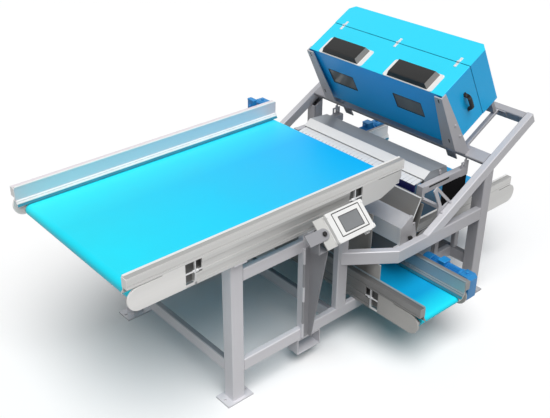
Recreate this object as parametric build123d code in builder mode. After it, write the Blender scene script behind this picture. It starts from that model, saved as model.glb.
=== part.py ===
from build123d import *
from math import atan2, cos, radians, sin
import os

os.makedirs("parts", exist_ok=True)

# Place of the machine in its frame, whose origin is under the middle of its box
leg_x = -982
mid_y = 90.5

# Conveyors: one rail section, one roller and one belt serve all three
belt_width = 1200
reject_width = 400
belt_gap = 10
belt_thick = 3
belt_rise = 86
roller_radius = 37
nose_radius = 20
roller_gap = 0.3
roller_inset = 6
shaft_radius = 12.5
running_fit = 0.05
round_sides = 12
rail_width = 48
rail_height = 213
rail_seam = 148
rail_wall = 6
lip_top = 128
lip_low = 92
lip_reach = 24
plate_thick = 12
slit_depth = 5
bed_thick = 6
tail_bearing = 52
nose_bearing = 36
bearing_length = 32
screw_radius = 5
gearbox_depth = 92
bracket_share = 0.55
bracket_thick = 8
foot_step = 70
motor_radius = 50

# Heights of the three belts and the run of each between roller axes
belt_top = 1115
takeaway_bottom = 466
infeed_tail_x = -638
infeed_run = 1945
reject_mid_x = 1249
reject_tail_y = 640
reject_run = 1742
takeaway_tail_x = 1640
takeaway_run = 960

# Base frame of rectangular tube
leg_size = 90
leg_y = 567
foot_thick = 12
foot_length = 196
foot_width = 128
rear_foot_length = 120
rear_foot_width = 158
anchor_inset = 22
anchor_radius = 9
seat_thick = 10
tube_wall = 5
tube_edge = 5
rail_low = 206
rail_top = 294
rail_thick = 40
upper_low = 868
upper_top = 951
middle_post_x = 512
sorting_post_x = 823
post_width = 90
post_thick = 50
arm_low = 627
arm_top = 722
arm_width = 50
near_outer = 836
far_outer = 940
arm_start_x = 845
arm_kink_x = 1146
rear_leg_x = 2041
pocket_x = 485
second_pocket_x = 1330
pocket_width = 198
pocket_low = 90
pocket_depth = 95
pocket_wall = 6
middle_cross_x = 785

# Inclined part that carries the hood, with u along the slope and n square to it
slope = 29
beam_low_n = -138
beam_top_n = -58
beam_end_u = 2787
member_front_u = 2273
member_back_u = 2365
member_thick = 32
upper_member_u = 2732
upper_member_width = 55
hood_front_u = 2245
hood_seam_u = 2543
hood_back_u = 2749
hood_low_n = 95
hood_top_n = 550
hood_half = 625
apron_n = 52
sheet = 3
seam_gap = 5
back_cut = 40

# Ejector, divider and operator panel
ejector_half = 592
finger_axis_x = 1672
finger_axis_z = 957
finger_shaft_radius = 8
hub_radius = 14
bank_count = 4
fingers_per_bank = 8
finger_gap = 2.3
divider_half = 700
divider_axis_x = 1425
divider_axis_z = 752
pin_radius = 6
panel_tilt = 43.8
panel_x = 600
panel_gap = 90
panel_z = 1134
panel_width = 300
panel_height = 196
panel_depth = 48
swing_x = 512
swing_gap = 12

roller_axis = belt_rise - belt_thick - roller_gap - roller_radius
nose_axis = belt_rise - belt_thick - roller_gap - nose_radius
sides = ((-1, near_outer), (1, far_outer))
outer_face = leg_y + leg_size / 2
swing_y = -outer_face - swing_gap
panel_y = -belt_width / 2 - panel_gap
panel_corner = (panel_x, panel_y, panel_z)
seat_top = belt_top - belt_rise
leg_top = seat_top - seat_thick
slope_cos = cos(radians(slope))
slope_sin = sin(radians(slope))
middle = Plane(origin=(leg_x, mid_y, 0), z_dir=(0, 1, 0))


def level(z):
    """Level plane with machine X and Y, facing up."""
    return Plane(origin=(leg_x, mid_y, z), x_dir=(1, 0, 0), z_dir=(0, 0, 1))


def upright(y):
    """Upright plane with machine X and Z, facing the near side."""
    return Plane(origin=(leg_x, mid_y + y, 0), x_dir=(1, 0, 0), z_dir=(0, -1, 0))


def station(x):
    """Upright plane with machine Y and Z, facing the discharge end."""
    return Plane(origin=(leg_x + x, mid_y, 0), x_dir=(0, 1, 0), z_dir=(1, 0, 0))


def incline(y):
    """Upright plane with the slope's u and n, facing the near side."""
    return Plane(origin=(leg_x, mid_y + y, 0), x_dir=(slope_cos, 0, slope_sin), z_dir=(0, -1, 0))


def slope_face(n):
    """Sloping plane with the slope's u and machine Y, facing away from the slope."""
    return Plane(
        origin=(leg_x - n * slope_sin, mid_y, n * slope_cos),
        x_dir=(slope_cos, 0, slope_sin),
        z_dir=(-slope_sin, 0, slope_cos),
    )


def slope_front(u):
    """Plane square to the slope with machine Y and n, facing up the slope."""
    return Plane(
        origin=(leg_x + u * slope_cos, mid_y, u * slope_sin),
        x_dir=(0, 1, 0),
        z_dir=(slope_cos, 0, slope_sin),
    )


def across(base, s):
    """Plane square to a belt's run at s along it."""
    return Plane(base.from_local_coords((s, 0, 0)), x_dir=base.y_dir, z_dir=base.x_dir)


def beside(base, t):
    """Upright plane along a belt's run at t to its left, facing right."""
    return Plane(base.from_local_coords((0, t, 0)), x_dir=base.x_dir, z_dir=-base.y_dir)


def over(base, z):
    """Level plane at a height over a conveyor's rail bottom."""
    return Plane(base.from_local_coords((0, 0, z)), x_dir=base.x_dir, z_dir=base.z_dir)


def prism(plane, points, depth, mode=Mode.ADD):
    """Straight-edged outline pulled to a depth."""
    with BuildSketch(plane) as face:
        with BuildLine():
            Polyline(*points, close=True)
        make_face()
    extrude(face.sketch, amount=depth, mode=mode)


def block(plane, left, low, right, high, depth, mode=Mode.ADD):
    """Rectangle between two corners pulled to a depth."""
    with BuildSketch(plane) as face:
        with Locations(((left + right) / 2, (low + high) / 2)):
            Rectangle(right - left, high - low)
    extrude(face.sketch, amount=depth, mode=mode)


def tube(plane, left, low, right, high, depth, wall=tube_wall):
    """Rectangular tube with bevelled edges."""
    centre = ((left + right) / 2, (low + high) / 2)
    with BuildSketch(plane) as face:
        with Locations(centre):
            Rectangle(right - left, high - low)
        chamfer(face.vertices(), tube_edge)
        with Locations(centre):
            Rectangle(right - left - 2 * wall, high - low - 2 * wall, mode=Mode.SUBTRACT)
    extrude(face.sketch, amount=depth)


def rod(plane, x, y, radius, depth, mode=Mode.ADD):
    """Round bar or bore."""
    with BuildSketch(plane) as face:
        with Locations((x, y)):
            Circle(radius)
    extrude(face.sketch, amount=depth, mode=mode)


def bar(plane, x, y, radius, depth, corners=round_sides, mode=Mode.ADD):
    """Many-sided bar or opening, which stands for a round one where many of them repeat."""
    with BuildSketch(plane) as face:
        with Locations((x, y)):
            RegularPolygon(radius, corners)
    extrude(face.sketch, amount=depth, mode=mode)


def bore(plane, x, y, radius, depth, corners=round_sides):
    """Many-sided bore whose flats clear a turning shaft by the running fit."""
    with BuildSketch(plane) as face:
        with Locations((x, y)):
            RegularPolygon(radius + running_fit, corners, major_radius=False)
    extrude(face.sketch, amount=depth, mode=Mode.SUBTRACT)


def span(side, outer, width):
    """Low and high Y of a piece whose outer face lies at a distance to one side."""
    return sorted((side * outer, side * (outer - width)))


def windows_of(run, tail, head, plate, window):
    """Start of each window along the run, and of the bracket that stands in it at the rail's side."""
    tail_window = plate - tail
    head_window = run + head - plate - window
    reach = window * bracket_share
    return (
        (tail_window, tail_window + reach),
        (head_window, head_window + window - reach - bracket_thick),
    )


def side_rails(name, base, width, run, tail, head, guide_tail, guide_head, plate, window):
    """Pair of extruded rails: a guide over the full length and a foot between the windows."""
    inner = width / 2
    foot_start = plate + window - tail
    foot_length_here = run + head - plate - window - foot_start
    web = lip_top - 14
    guide = [
        (rail_width, rail_seam),
        (rail_width, rail_seam + 12),
        (rail_width - 2, rail_seam + 14),
        (rail_width - 2, rail_seam + 20),
        (rail_width, rail_seam + 22),
        (rail_width, rail_height - 4),
        (rail_width - 4, rail_height),
        (4, rail_height),
        (0, rail_height - 4),
        (0, lip_top),
        (-lip_reach, lip_low),
        (4 - lip_reach, lip_low - 1),
        (0, web),
        (rail_wall, web),
        (rail_wall, rail_seam),
    ]
    groove = rail_width - 5
    foot = [
        (0, 0),
        (rail_width, 0),
        (rail_width, 20),
        (groove, 25),
        (groove, 52),
        (rail_width, 57),
        (rail_width, 78),
        (groove, 83),
        (groove, 118),
        (rail_width, 123),
        (rail_width, rail_seam),
        (0, rail_seam),
    ]
    chamber_right = inner + groove - rail_wall
    with BuildPart() as rails:
        with BuildSketch(across(base, -guide_tail)) as guide_face:
            with BuildLine():
                Polyline(*[(inner + t, z) for t, z in guide], close=True)
            make_face()
            with Locations((inner + rail_width / 2, (rail_seam + rail_height) / 2)):
                Rectangle(
                    rail_width - 2 * rail_wall - 4,
                    rail_height - rail_seam - 2 * rail_wall,
                    mode=Mode.SUBTRACT,
                )
        extrude(guide_face.sketch, amount=guide_tail + run + guide_head)
        prism(across(base, foot_start), [(inner + t, z) for t, z in foot], foot_length_here)
        for low, high in ((rail_wall, 66), (74, rail_seam - rail_wall)):
            block(
                across(base, foot_start),
                inner + rail_wall,
                low,
                chamber_right,
                high,
                foot_length_here,
                mode=Mode.SUBTRACT,
            )
        if window:
            step = [(t, z) for t, z in foot if z < foot_step] + [(rail_width, foot_step), (0, foot_step)]
            tail_window, head_window = windows_of(run, tail, head, plate, window)
            step_start = tail_window[1] + bracket_thick
            for start, length in (
                (step_start, foot_start - step_start),
                (head_window[0], head_window[1] - head_window[0]),
            ):
                prism(across(base, start), [(inner + t, z) for t, z in step], length)
            for start, bracket in (tail_window, head_window):
                block(across(base, start), inner, 0, inner + rail_wall, rail_seam, window)
        mirror(about=Plane(base.origin, z_dir=base.y_dir))
    rails.part.label = f"{name}_side_rails"
    export_step(rails.part, f"parts/{name}_side_rails.step")


def end_plates(name, base, width, run, tail, head, plate, head_cut):
    """Four end plates: round at the tail, round or tapered at the head, with a slit under the guide."""
    outer = width / 2 + rail_width
    bend = rail_seam / 2
    tail_end = plate - tail
    head_end = run + head
    head_start = head_end - plate
    slit_far = bend + (plate - bend) * 0.5
    low_slit = rail_seam - slit_depth
    with BuildPart() as plates:
        with BuildSketch(beside(base, -outer + plate_thick)) as tail_face:
            with BuildLine():
                Polyline(
                    (bend - tail, 0),
                    (tail_end, 0),
                    (tail_end, rail_seam),
                    (slit_far - tail, rail_seam),
                    (slit_far - tail, low_slit),
                    (bend - tail, low_slit),
                )
                ThreePointArc((bend - tail, low_slit), (-tail, bend), (bend - tail, 0))
            make_face()
        extrude(tail_face.sketch, amount=plate_thick)
        with BuildSketch(beside(base, -outer + plate_thick)) as head_face:
            with BuildLine():
                if head_cut:
                    Polyline(
                        (head_end - 3 * head_cut, 0),
                        (head_start, 0),
                        (head_start, rail_seam),
                        (head_end - slit_far, rail_seam),
                        (head_end - slit_far, low_slit),
                        (head_end, low_slit),
                        (head_end, 1.5 * head_cut),
                        (head_end - head_cut, 0.7 * head_cut),
                        close=True,
                    )
                else:
                    Polyline(
                        (head_end - bend, 0),
                        (head_start, 0),
                        (head_start, rail_seam),
                        (head_end - slit_far, rail_seam),
                        (head_end - slit_far, low_slit),
                        (head_end - bend, low_slit),
                    )
                    ThreePointArc((head_end - bend, low_slit), (head_end, bend), (head_end - bend, 0))
            make_face()
        extrude(head_face.sketch, amount=plate_thick)
        mirror(about=Plane(base.origin, z_dir=base.y_dir))
        if head_cut:
            block(
                beside(base, outer),
                head_end - 2 * head_cut,
                rail_seam / 4,
                head_end,
                low_slit,
                plate_thick,
            )
        bar(beside(base, outer), run, nose_axis, shaft_radius + 2, plate_thick, mode=Mode.SUBTRACT)
    plates.part.label = f"{name}_end_plates"
    export_step(plates.part, f"parts/{name}_end_plates.step")


def belt_bed(name, base, width, run, tail, head, plate, window):
    """Slider bed under the carrying strand on three cross ribs."""
    foot_start = plate + window - tail
    foot_end = run + head - plate - window
    bed_top = belt_rise - belt_thick - roller_gap
    bed_low = bed_top - bed_thick
    clear = 20
    rib_height = 36
    with BuildPart() as bed:
        block(
            over(base, bed_low),
            roller_radius + clear,
            -width / 2,
            run - nose_radius - clear,
            width / 2,
            bed_thick,
        )
        for share in (0.12, 0.5, 0.88):
            s = foot_start + share * (foot_end - foot_start)
            block(beside(base, width / 2), s, bed_low - rib_height, s + bed_thick, bed_low, width)
    bed.part.label = f"{name}_bed"
    export_step(bed.part, f"parts/{name}_bed.step")


def belt_loop(name, base, width, run):
    """Endless belt round the tail roller and the smaller nose roller."""
    half = width / 2 - belt_gap
    lean = atan2(roller_radius - nose_radius, run)
    with BuildPart() as belt:
        with BuildSketch(beside(base, half)) as loop:
            for outset, mode in ((roller_gap + belt_thick, Mode.ADD), (roller_gap, Mode.SUBTRACT)):
                big = roller_radius + outset
                small = nose_radius + outset
                tail_top = (0, roller_axis + big)
                nose_top = (run, nose_axis + small)
                nose_mid = (run + small * cos(lean), nose_axis + small * sin(lean))
                nose_low = (run + small * sin(2 * lean), nose_axis - small * cos(2 * lean))
                tail_low = (big * sin(2 * lean), roller_axis - big * cos(2 * lean))
                tail_mid = (-big * cos(lean), roller_axis - big * sin(lean))
                with BuildLine():
                    Line(tail_top, nose_top)
                    ThreePointArc(nose_top, nose_mid, nose_low)
                    Line(nose_low, tail_low)
                    ThreePointArc(tail_low, tail_mid, tail_top)
                make_face(mode=mode)
        extrude(loop.sketch, amount=2 * half)
    belt.part.label = f"{name}_belt"
    export_step(belt.part, f"parts/{name}_belt.step")


def tail_roller(name, base, width):
    """Idle roller with its shaft in the tail bearings."""
    half = width / 2 - roller_inset
    reach = width / 2 + rail_width - plate_thick - 1
    with BuildPart() as roller:
        bar(beside(base, half), 0, roller_axis, roller_radius, 2 * half)
        bar(beside(base, reach), 0, roller_axis, shaft_radius, 2 * reach)
    roller.part.label = f"{name}_tail_roller"
    export_step(roller.part, f"parts/{name}_tail_roller.step")


def drive_roller(name, base, width, run):
    """Driven roller whose shaft runs on through the left plate into the gearbox."""
    half = width / 2 - roller_inset
    right = width / 2 + rail_width - plate_thick - 1
    left = width / 2 + rail_width + gearbox_depth - 4
    with BuildPart() as roller:
        bar(beside(base, half), run, nose_axis, nose_radius, 2 * half)
        bar(beside(base, left), run, nose_axis, shaft_radius, left + right)
    roller.part.label = f"{name}_drive_roller"
    export_step(roller.part, f"parts/{name}_drive_roller.step")


def gearmotor(name, base, width, run, motor_z, motor_length, case_top, box_start, box_length, box_height):
    """Right-angle gearbox on the left head plate, with a finned motor lying back along the rail."""
    face = width / 2 + rail_width
    centre_t = face + motor_radius + 10
    case_low = nose_axis - 24
    case = [
        (-52, case_low + 12),
        (-40, case_low),
        (34, case_low),
        (46, case_low + 12),
        (46, case_top - 22),
        (26, case_top),
        (-36, case_top),
        (-52, case_top - 12),
    ]
    cowl = 70
    fin_root = motor_radius - 4
    with BuildPart() as motor:
        prism(beside(base, face + gearbox_depth), [(run + s, z) for s, z in case], gearbox_depth)
        bore(beside(base, face + gearbox_depth), run, nose_axis, shaft_radius, gearbox_depth)
        front = run - 52
        bar(across(base, front - 14), centre_t, motor_z, motor_radius + 7, 14)
        with BuildSketch(across(base, front - motor_length + cowl)) as body:
            with Locations((centre_t, motor_z)):
                RegularPolygon(fin_root, 14)
                with PolarLocations(fin_root - 1, 14):
                    Rectangle(14, 4)
        extrude(body.sketch, amount=motor_length - cowl - 14)
        bar(across(base, front - motor_length), centre_t, motor_z, motor_radius + 4, cowl, 24)
        box_low = motor_z + motor_radius - 8
        block(
            over(base, box_low),
            front - box_start - box_length,
            centre_t - 36,
            front - box_start,
            centre_t + 36,
            box_height,
        )
    motor.part.label = f"{name}_gearmotor"
    export_step(motor.part, f"parts/{name}_gearmotor.step")


# The three conveyors: base plane at the tail roller, width, run, end reaches, guide reaches, plates
infeed_base = Plane(
    origin=(leg_x + infeed_tail_x, mid_y, belt_top - belt_rise),
    x_dir=(1, 0, 0),
    z_dir=(0, 0, 1),
)
reject_base = Plane(
    origin=(leg_x + reject_mid_x, mid_y + reject_tail_y, rail_top),
    x_dir=(0, -1, 0),
    z_dir=(0, 0, 1),
)
takeaway_base = Plane(
    origin=(leg_x + takeaway_tail_x, mid_y, takeaway_bottom),
    x_dir=(1, 0, 0),
    z_dir=(0, 0, 1),
)
conveyors = (
    ("infeed", infeed_base, belt_width, infeed_run, 92, 18, 87, 37, 358, 109, 60),
    ("reject", reject_base, reject_width, reject_run, 92, 46, 60, 53, 338, 110, 0),
    ("takeaway", takeaway_base, belt_width, takeaway_run, 92, 95, 80, 35, 330, 0, 0),
)
for name, base, width, run, tail, head, guide_tail, guide_head, plate, window, head_cut in conveyors:
    side_rails(name, base, width, run, tail, head, guide_tail, guide_head, plate, window)
    end_plates(name, base, width, run, tail, head, plate, head_cut)
    belt_bed(name, base, width, run, tail, head, plate, window)
    belt_loop(name, base, width, run)
    tail_roller(name, base, width)
    drive_roller(name, base, width, run)
gearmotor("infeed", infeed_base, belt_width, infeed_run, 107, 395, 211, 25, 40, 90)
gearmotor("reject", reject_base, reject_width, reject_run, 154, 317, 218, 127, 60, 26)
gearmotor("takeaway", takeaway_base, belt_width, takeaway_run, 168, 300, 232, 20, 70, 44)

# Bearings inside the end plates, and the tension screws with their brackets in the windows
bearing_sides = 8
with BuildPart() as take_ups:
    for name, base, width, run, tail, head, guide_tail, guide_head, plate, window, head_cut in conveyors:
        plate_face = width / 2 + rail_width - plate_thick
        for s, axis, size in ((0, roller_axis, tail_bearing), (run, nose_axis, nose_bearing)):
            for t in (plate_face, bearing_length - plate_face):
                block(
                    beside(base, t),
                    s - size / 2,
                    axis - size / 2,
                    s + size / 2,
                    axis + size / 2,
                    bearing_length,
                )
                bore(beside(base, t), s, axis, shaft_radius, bearing_length, bearing_sides)
        windows = windows_of(run, tail, head, plate, window) if window else ()
        for start, bracket in windows:
            for t in (plate_face + plate_thick, -plate_face):
                block(beside(base, t), bracket, 0, bracket + bracket_thick, rail_seam, plate_thick)
                bar(across(base, start), t - plate_thick / 2, rail_seam * 0.55, screw_radius, window, 6)
    take_ups.part.label = "take_up_units"
    export_step(take_ups.part, "parts/take_up_units.step")

# Legs on foot plates with anchor holes
with BuildPart() as front_legs:
    half = leg_size / 2
    tube(level(foot_thick), -half, -leg_y - half, half, half - leg_y, leg_top - foot_thick)
    block(
        level(0),
        -foot_length / 2,
        -leg_y - foot_width / 2,
        foot_length / 2,
        foot_width / 2 - leg_y,
        foot_thick,
    )
    anchor_x = foot_length / 2 - anchor_inset
    for x in (-anchor_x, anchor_x):
        rod(level(0), x, -leg_y, anchor_radius, foot_thick, mode=Mode.SUBTRACT)
    mirror(about=middle)
    front_legs.part.label = "front_legs"
    export_step(front_legs.part, "parts/front_legs.step")

with BuildPart() as rear_legs:
    half = leg_size / 2
    leg_spare = 1200
    for side, outer_y in sides:
        low_y, high_y = span(side, outer_y, leg_size)
        tube(level(foot_thick), rear_leg_x - half, low_y, rear_leg_x + half, high_y, leg_spare)
    split(bisect_by=slope_face(beam_low_n), keep=Keep.BOTTOM)
    for side, outer_y in sides:
        rear_y = side * (outer_y - half)
        block(
            level(0),
            rear_leg_x - rear_foot_length / 2,
            rear_y - rear_foot_width / 2,
            rear_leg_x + rear_foot_length / 2,
            rear_y + rear_foot_width / 2,
            foot_thick,
        )
        anchor_y = rear_y + side * (rear_foot_width - anchor_inset) / 2
        rod(level(0), rear_leg_x, anchor_y, anchor_radius, foot_thick, mode=Mode.SUBTRACT)
    rear_legs.part.label = "rear_legs"
    export_step(rear_legs.part, "parts/rear_legs.step")

# Side rails between the legs and posts, and the three cross rails
with BuildPart() as frame_rails:
    inner = outer_face - rail_thick
    leg_face = leg_size / 2
    post_back = middle_post_x + post_width
    rear_rail = rear_leg_x - rail_thick / 2
    for start, end, low, high in (
        (leg_face, middle_post_x, rail_low, rail_top),
        (post_back, rear_rail, rail_low, rail_top),
        (leg_face, middle_post_x, upper_low, upper_top),
        (post_back, sorting_post_x, upper_low, upper_top),
    ):
        tube(station(start), -outer_face, low, -inner, high, end - start)
    mirror(about=middle)
    frame_rails.part.label = "frame_rails"
    export_step(frame_rails.part, "parts/frame_rails.step")

with BuildPart() as cross_rails:
    front_half = leg_y - leg_size / 2
    rear_near = leg_size - near_outer
    rear_far = far_outer - leg_size
    for start, near_end, far_end in (
        (-leg_size / 2, -front_half, front_half),
        (middle_cross_x, rail_thick - outer_face, outer_face - rail_thick),
        (rear_leg_x - rail_thick / 2, rear_near, rear_far),
    ):
        tube(upright(far_end), start, rail_low, start + rail_thick, rail_top, far_end - near_end)
    cross_rails.part.label = "cross_rails"
    export_step(cross_rails.part, "parts/cross_rails.step")

# Posts under the conveyor, the seats on them, and the stubs under the takeaway conveyor
with BuildPart() as posts:
    post_inner = outer_face - post_thick
    tube(
        level(rail_low),
        middle_post_x,
        -outer_face,
        middle_post_x + post_width,
        -post_inner,
        leg_top - rail_low,
    )
    tube(
        level(rail_top),
        sorting_post_x,
        -outer_face,
        sorting_post_x + post_width,
        -post_inner,
        leg_top - rail_top,
    )
    seat_outer = belt_width / 2 + rail_width
    for start in (-leg_size / 2, middle_post_x, sorting_post_x):
        block(level(leg_top), start, -seat_outer, start + post_width, -post_inner, seat_thick)
    stub_x = takeaway_tail_x + 190
    stub_inner = outer_face - rail_thick
    tube(level(rail_top), stub_x, -outer_face, stub_x + 40, -stub_inner, takeaway_bottom - rail_top, wall=3)
    rear_stub = rear_leg_x - rail_thick / 2
    tube(
        level(rail_top),
        rear_stub,
        -belt_width / 2 - 40,
        rear_stub + 40,
        -belt_width / 2,
        takeaway_bottom - rail_top,
        wall=3,
    )
    mirror(about=middle)
    posts.part.label = "posts"
    export_step(posts.part, "parts/posts.step")

# Arms that widen the frame: each is a tube bent at a mitre and cut flush on its post
with BuildPart() as arms:
    mid_z = (arm_low + arm_top) / 2
    arm_height = arm_top - arm_low
    end_x = rear_leg_x - leg_size / 2
    spare = 80
    for side, outer_y in sides:
        run_x = arm_kink_x - arm_start_x
        run_y = outer_y - outer_face
        run_length = (run_x**2 + run_y**2) ** 0.5
        centre_y = outer_y - arm_width / 2
        start_x = arm_start_x + arm_width / 2 * run_length / run_y
        kink_x = start_x + (centre_y - outer_face) * run_x / run_y
        spare_x = start_x - spare * run_x / run_y
        first = (leg_x + spare_x, mid_y + side * (outer_face - spare), mid_z)
        bend = (leg_x + kink_x, mid_y + side * centre_y, mid_z)
        last = (leg_x + end_x, mid_y + side * centre_y, mid_z)
        with BuildLine() as arm_path:
            Polyline(first, bend, last)
        section = Plane(origin=first, x_dir=(-side * run_y, run_x, 0), z_dir=(run_x, side * run_y, 0))
        with BuildSketch(section) as arm_face:
            Rectangle(arm_width, arm_height)
            chamfer(arm_face.vertices(), tube_edge)
            Rectangle(arm_width - 2 * tube_wall, arm_height - 2 * tube_wall, mode=Mode.SUBTRACT)
        sweep(arm_face.sketch, path=arm_path.wires()[0], transition=Transition.RIGHT)
        low_y, high_y = span(side, outer_face, 3 * spare)
        block(
            level(arm_low - 1),
            spare_x - 2 * spare,
            low_y,
            start_x + 2 * spare,
            high_y,
            arm_height + 2,
            mode=Mode.SUBTRACT,
        )
    arms.part.label = "outrigger_arms"
    export_step(arms.part, "parts/outrigger_arms.step")

# Inclined beams from the arms past the rear legs, closed at the upper end
with BuildPart() as beams:
    beam_start = 1560
    cap_inset = tube_wall / 2
    for side, outer_y in sides:
        low_y, high_y = span(side, outer_y, arm_width)
        tube(slope_front(beam_start), low_y, beam_low_n, high_y, beam_top_n, beam_end_u - beam_start)
        block(
            slope_front(beam_end_u),
            low_y + cap_inset,
            beam_low_n + cap_inset,
            high_y - cap_inset,
            beam_top_n - cap_inset,
            6,
        )
    split(bisect_by=level(arm_top), keep=Keep.TOP)
    beams.part.label = "inclined_beams"
    export_step(beams.part, "parts/inclined_beams.step")

# Fork pockets under the side rails
with BuildPart() as pockets:
    for start in (pocket_x, second_pocket_x):
        for back_y in (pocket_depth - outer_face, outer_face):
            height = rail_low - pocket_low
            with BuildSketch(upright(back_y)) as pocket_face:
                with Locations((start + pocket_width / 2, pocket_low + height / 2)):
                    Rectangle(pocket_width, height)
                    Rectangle(pocket_width - 2 * pocket_wall, height - 2 * pocket_wall, mode=Mode.SUBTRACT)
            extrude(pocket_face.sketch, amount=pocket_depth)
    pockets.part.label = "fork_pockets"
    export_step(pockets.part, "parts/fork_pockets.step")

# Cross members between the beams
with BuildPart() as members:
    near_inner = arm_width - near_outer
    far_inner = far_outer - arm_width
    for start, end, thick in (
        (member_front_u, member_back_u, member_thick),
        (upper_member_u, upper_member_u + upper_member_width, 75),
    ):
        tube(
            incline(far_inner),
            start,
            beam_top_n - thick,
            end,
            beam_top_n,
            far_inner - near_inner,
            wall=4,
        )
    members.part.label = "hood_cross_members"
    export_step(members.part, "parts/hood_cross_members.step")

# Tapered posts of bent plate, the inclined rails with their slotted ends, the stays and the lugs
with BuildPart() as supports:
    post_sheet = 8
    top = hood_top_n - 4
    top_u = hood_front_u - 20
    knee_u = top_u - 22
    knee_n = 60
    flange_top_y = 55 - hood_half
    flange_low_y = 97 - hood_half
    strip_low_y = 35 - hood_half
    strip_high_y = 71 - hood_half
    stay_inset = 4
    end_plate_thick = 6
    lug_thick = 8
    outline = [
        (top_u, top),
        (top_u + 48, top),
        (top_u + 94, -30),
        (top_u + 104, beam_top_n),
        (top_u + 56, beam_top_n),
        (knee_u, knee_n),
    ]
    flange = [(top_u, top), (top_u + post_sheet, top), (knee_u + post_sheet, knee_n), (knee_u, knee_n)]
    prism(incline(-hood_half), outline, post_sheet)
    prism(incline(flange_low_y), flange, hood_half + flange_low_y)
    prism(
        slope_front(knee_u - 1),
        [(flange_top_y, top), (flange_low_y, knee_n), (flange_low_y + 1, top)],
        top_u - knee_u + post_sheet + 2,
        mode=Mode.SUBTRACT,
    )
    block(
        slope_face(beam_top_n),
        top_u + 56,
        -hood_half - post_sheet,
        top_u + 128,
        flange_top_y,
        post_sheet,
    )
    tube(
        slope_front(member_back_u),
        strip_low_y,
        beam_top_n - 25,
        strip_high_y,
        beam_top_n,
        upper_member_u - member_back_u,
        wall=3,
    )
    block(
        slope_face(beam_top_n),
        hood_back_u - 68,
        strip_low_y + stay_inset,
        hood_back_u - 38,
        strip_high_y - stay_inset,
        hood_low_n - beam_top_n,
    )
    end_plate = slope_front(upper_member_u - end_plate_thick)
    block(end_plate, -hood_half - 25, beam_top_n - 44, 120 - hood_half, beam_top_n - 4, end_plate_thick)
    block(
        end_plate,
        -hood_half - 2,
        beam_top_n - 24,
        74 - hood_half,
        beam_top_n - 13,
        end_plate_thick,
        mode=Mode.SUBTRACT,
    )
    block(
        slope_front(member_front_u - lug_thick),
        77 - hood_half,
        beam_top_n - 78,
        157 - hood_half,
        beam_top_n - 4,
        lug_thick,
    )
    mirror(about=middle)
    supports.part.label = "hood_supports"
    export_step(supports.part, "parts/hood_supports.step")

# Hood in front of the seam: a box of sheet with two windows and two fan openings, open to the rear
window_width = 248
window_height = 138
window_n = 320
window_ys = (368, -268)
fan_u = 2325
fan_ys = (315, -315)
duct_radius = 70
slope_run = Axis((0, 0, 0), (slope_cos, 0, slope_sin))
with BuildPart() as front_shell:
    block(
        incline(hood_half),
        hood_front_u,
        hood_low_n,
        hood_seam_u - seam_gap / 2,
        hood_top_n,
        2 * hood_half,
    )
    fillet(front_shell.edges().filter_by(slope_run), 6)
    block(
        incline(hood_half - sheet),
        hood_front_u + sheet,
        hood_low_n + sheet,
        hood_seam_u,
        hood_top_n - sheet,
        2 * (hood_half - sheet),
        mode=Mode.SUBTRACT,
    )
    block(slope_front(hood_front_u), -hood_half + 8, apron_n, hood_half - 8, hood_low_n + 8, sheet)
    for y in window_ys:
        block(
            slope_front(hood_front_u),
            y - window_width / 2,
            window_n - window_height / 2,
            y + window_width / 2,
            window_n + window_height / 2,
            sheet,
            mode=Mode.SUBTRACT,
        )
    for y in fan_ys:
        bar(slope_face(hood_top_n - sheet), fan_u, y, duct_radius + 2, sheet, mode=Mode.SUBTRACT)
    front_shell.part.label = "hood_front_shell"
    export_step(front_shell.part, "parts/hood_front_shell.step")

# Hood behind the seam: the cover that tips up, with its lower back edge and back corners cut off
corner_line = Axis((0, 0, 0), (-slope_sin, 0, slope_cos))


def back_corners(shape):
    """Edges of the cover at its back that stand square to the slope."""
    return shape.edges().filter_by(corner_line).group_by(slope_run)[-1]


with BuildPart() as rear_cover:
    seam = hood_seam_u + seam_gap / 2
    cut_u = 30
    cut_n = 68
    outline = [
        (seam, hood_low_n),
        (hood_back_u - cut_u, hood_low_n),
        (hood_back_u, hood_low_n + cut_n),
        (hood_back_u, hood_top_n),
        (seam, hood_top_n),
    ]
    inside = [
        (seam, hood_low_n + sheet),
        (hood_back_u - cut_u - 1, hood_low_n + sheet),
        (hood_back_u - sheet, hood_low_n + cut_n + 1),
        (hood_back_u - sheet, hood_top_n - sheet),
        (seam, hood_top_n - sheet),
    ]
    prism(incline(hood_half), outline, 2 * hood_half)
    chamfer(back_corners(rear_cover), back_cut)
    with BuildPart(mode=Mode.SUBTRACT) as hollow:
        prism(incline(hood_half - sheet), inside, 2 * (hood_half - sheet))
        chamfer(back_corners(hollow), back_cut)
    rear_cover.part.label = "hood_rear_cover"
    export_step(rear_cover.part, "parts/hood_rear_cover.step")

# Three butt hinges over the seam: two outer knuckles and the pin stay, the middle knuckle turns
hinge_ys = (525, -3, -531)
hinge_n = hood_top_n + 7
hinge_half = 10
leaf_length = 44
leaf_thick = 3
knuckle_radius = 6
hinge_pin = 2.5
middle_knuckle = 3.5
with BuildPart() as hinges:
    for y in hinge_ys:
        block(
            slope_face(hood_top_n),
            hood_seam_u - leaf_length,
            y - hinge_half,
            hood_seam_u - knuckle_radius - 2,
            y + hinge_half,
            leaf_thick,
        )
        for start in (y + hinge_half, y - middle_knuckle - 0.5):
            width = hinge_half - middle_knuckle - 0.5
            bar(incline(start), hood_seam_u, hinge_n, knuckle_radius, width, 8)
            block(
                incline(start),
                hood_seam_u - knuckle_radius - 3,
                hood_top_n,
                hood_seam_u - 2,
                hood_top_n + leaf_thick,
                width,
            )
        bar(incline(y + hinge_half), hood_seam_u, hinge_n, hinge_pin, 2 * hinge_half)
    hinges.part.label = "hood_hinges"
    export_step(hinges.part, "parts/hood_hinges.step")

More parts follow.
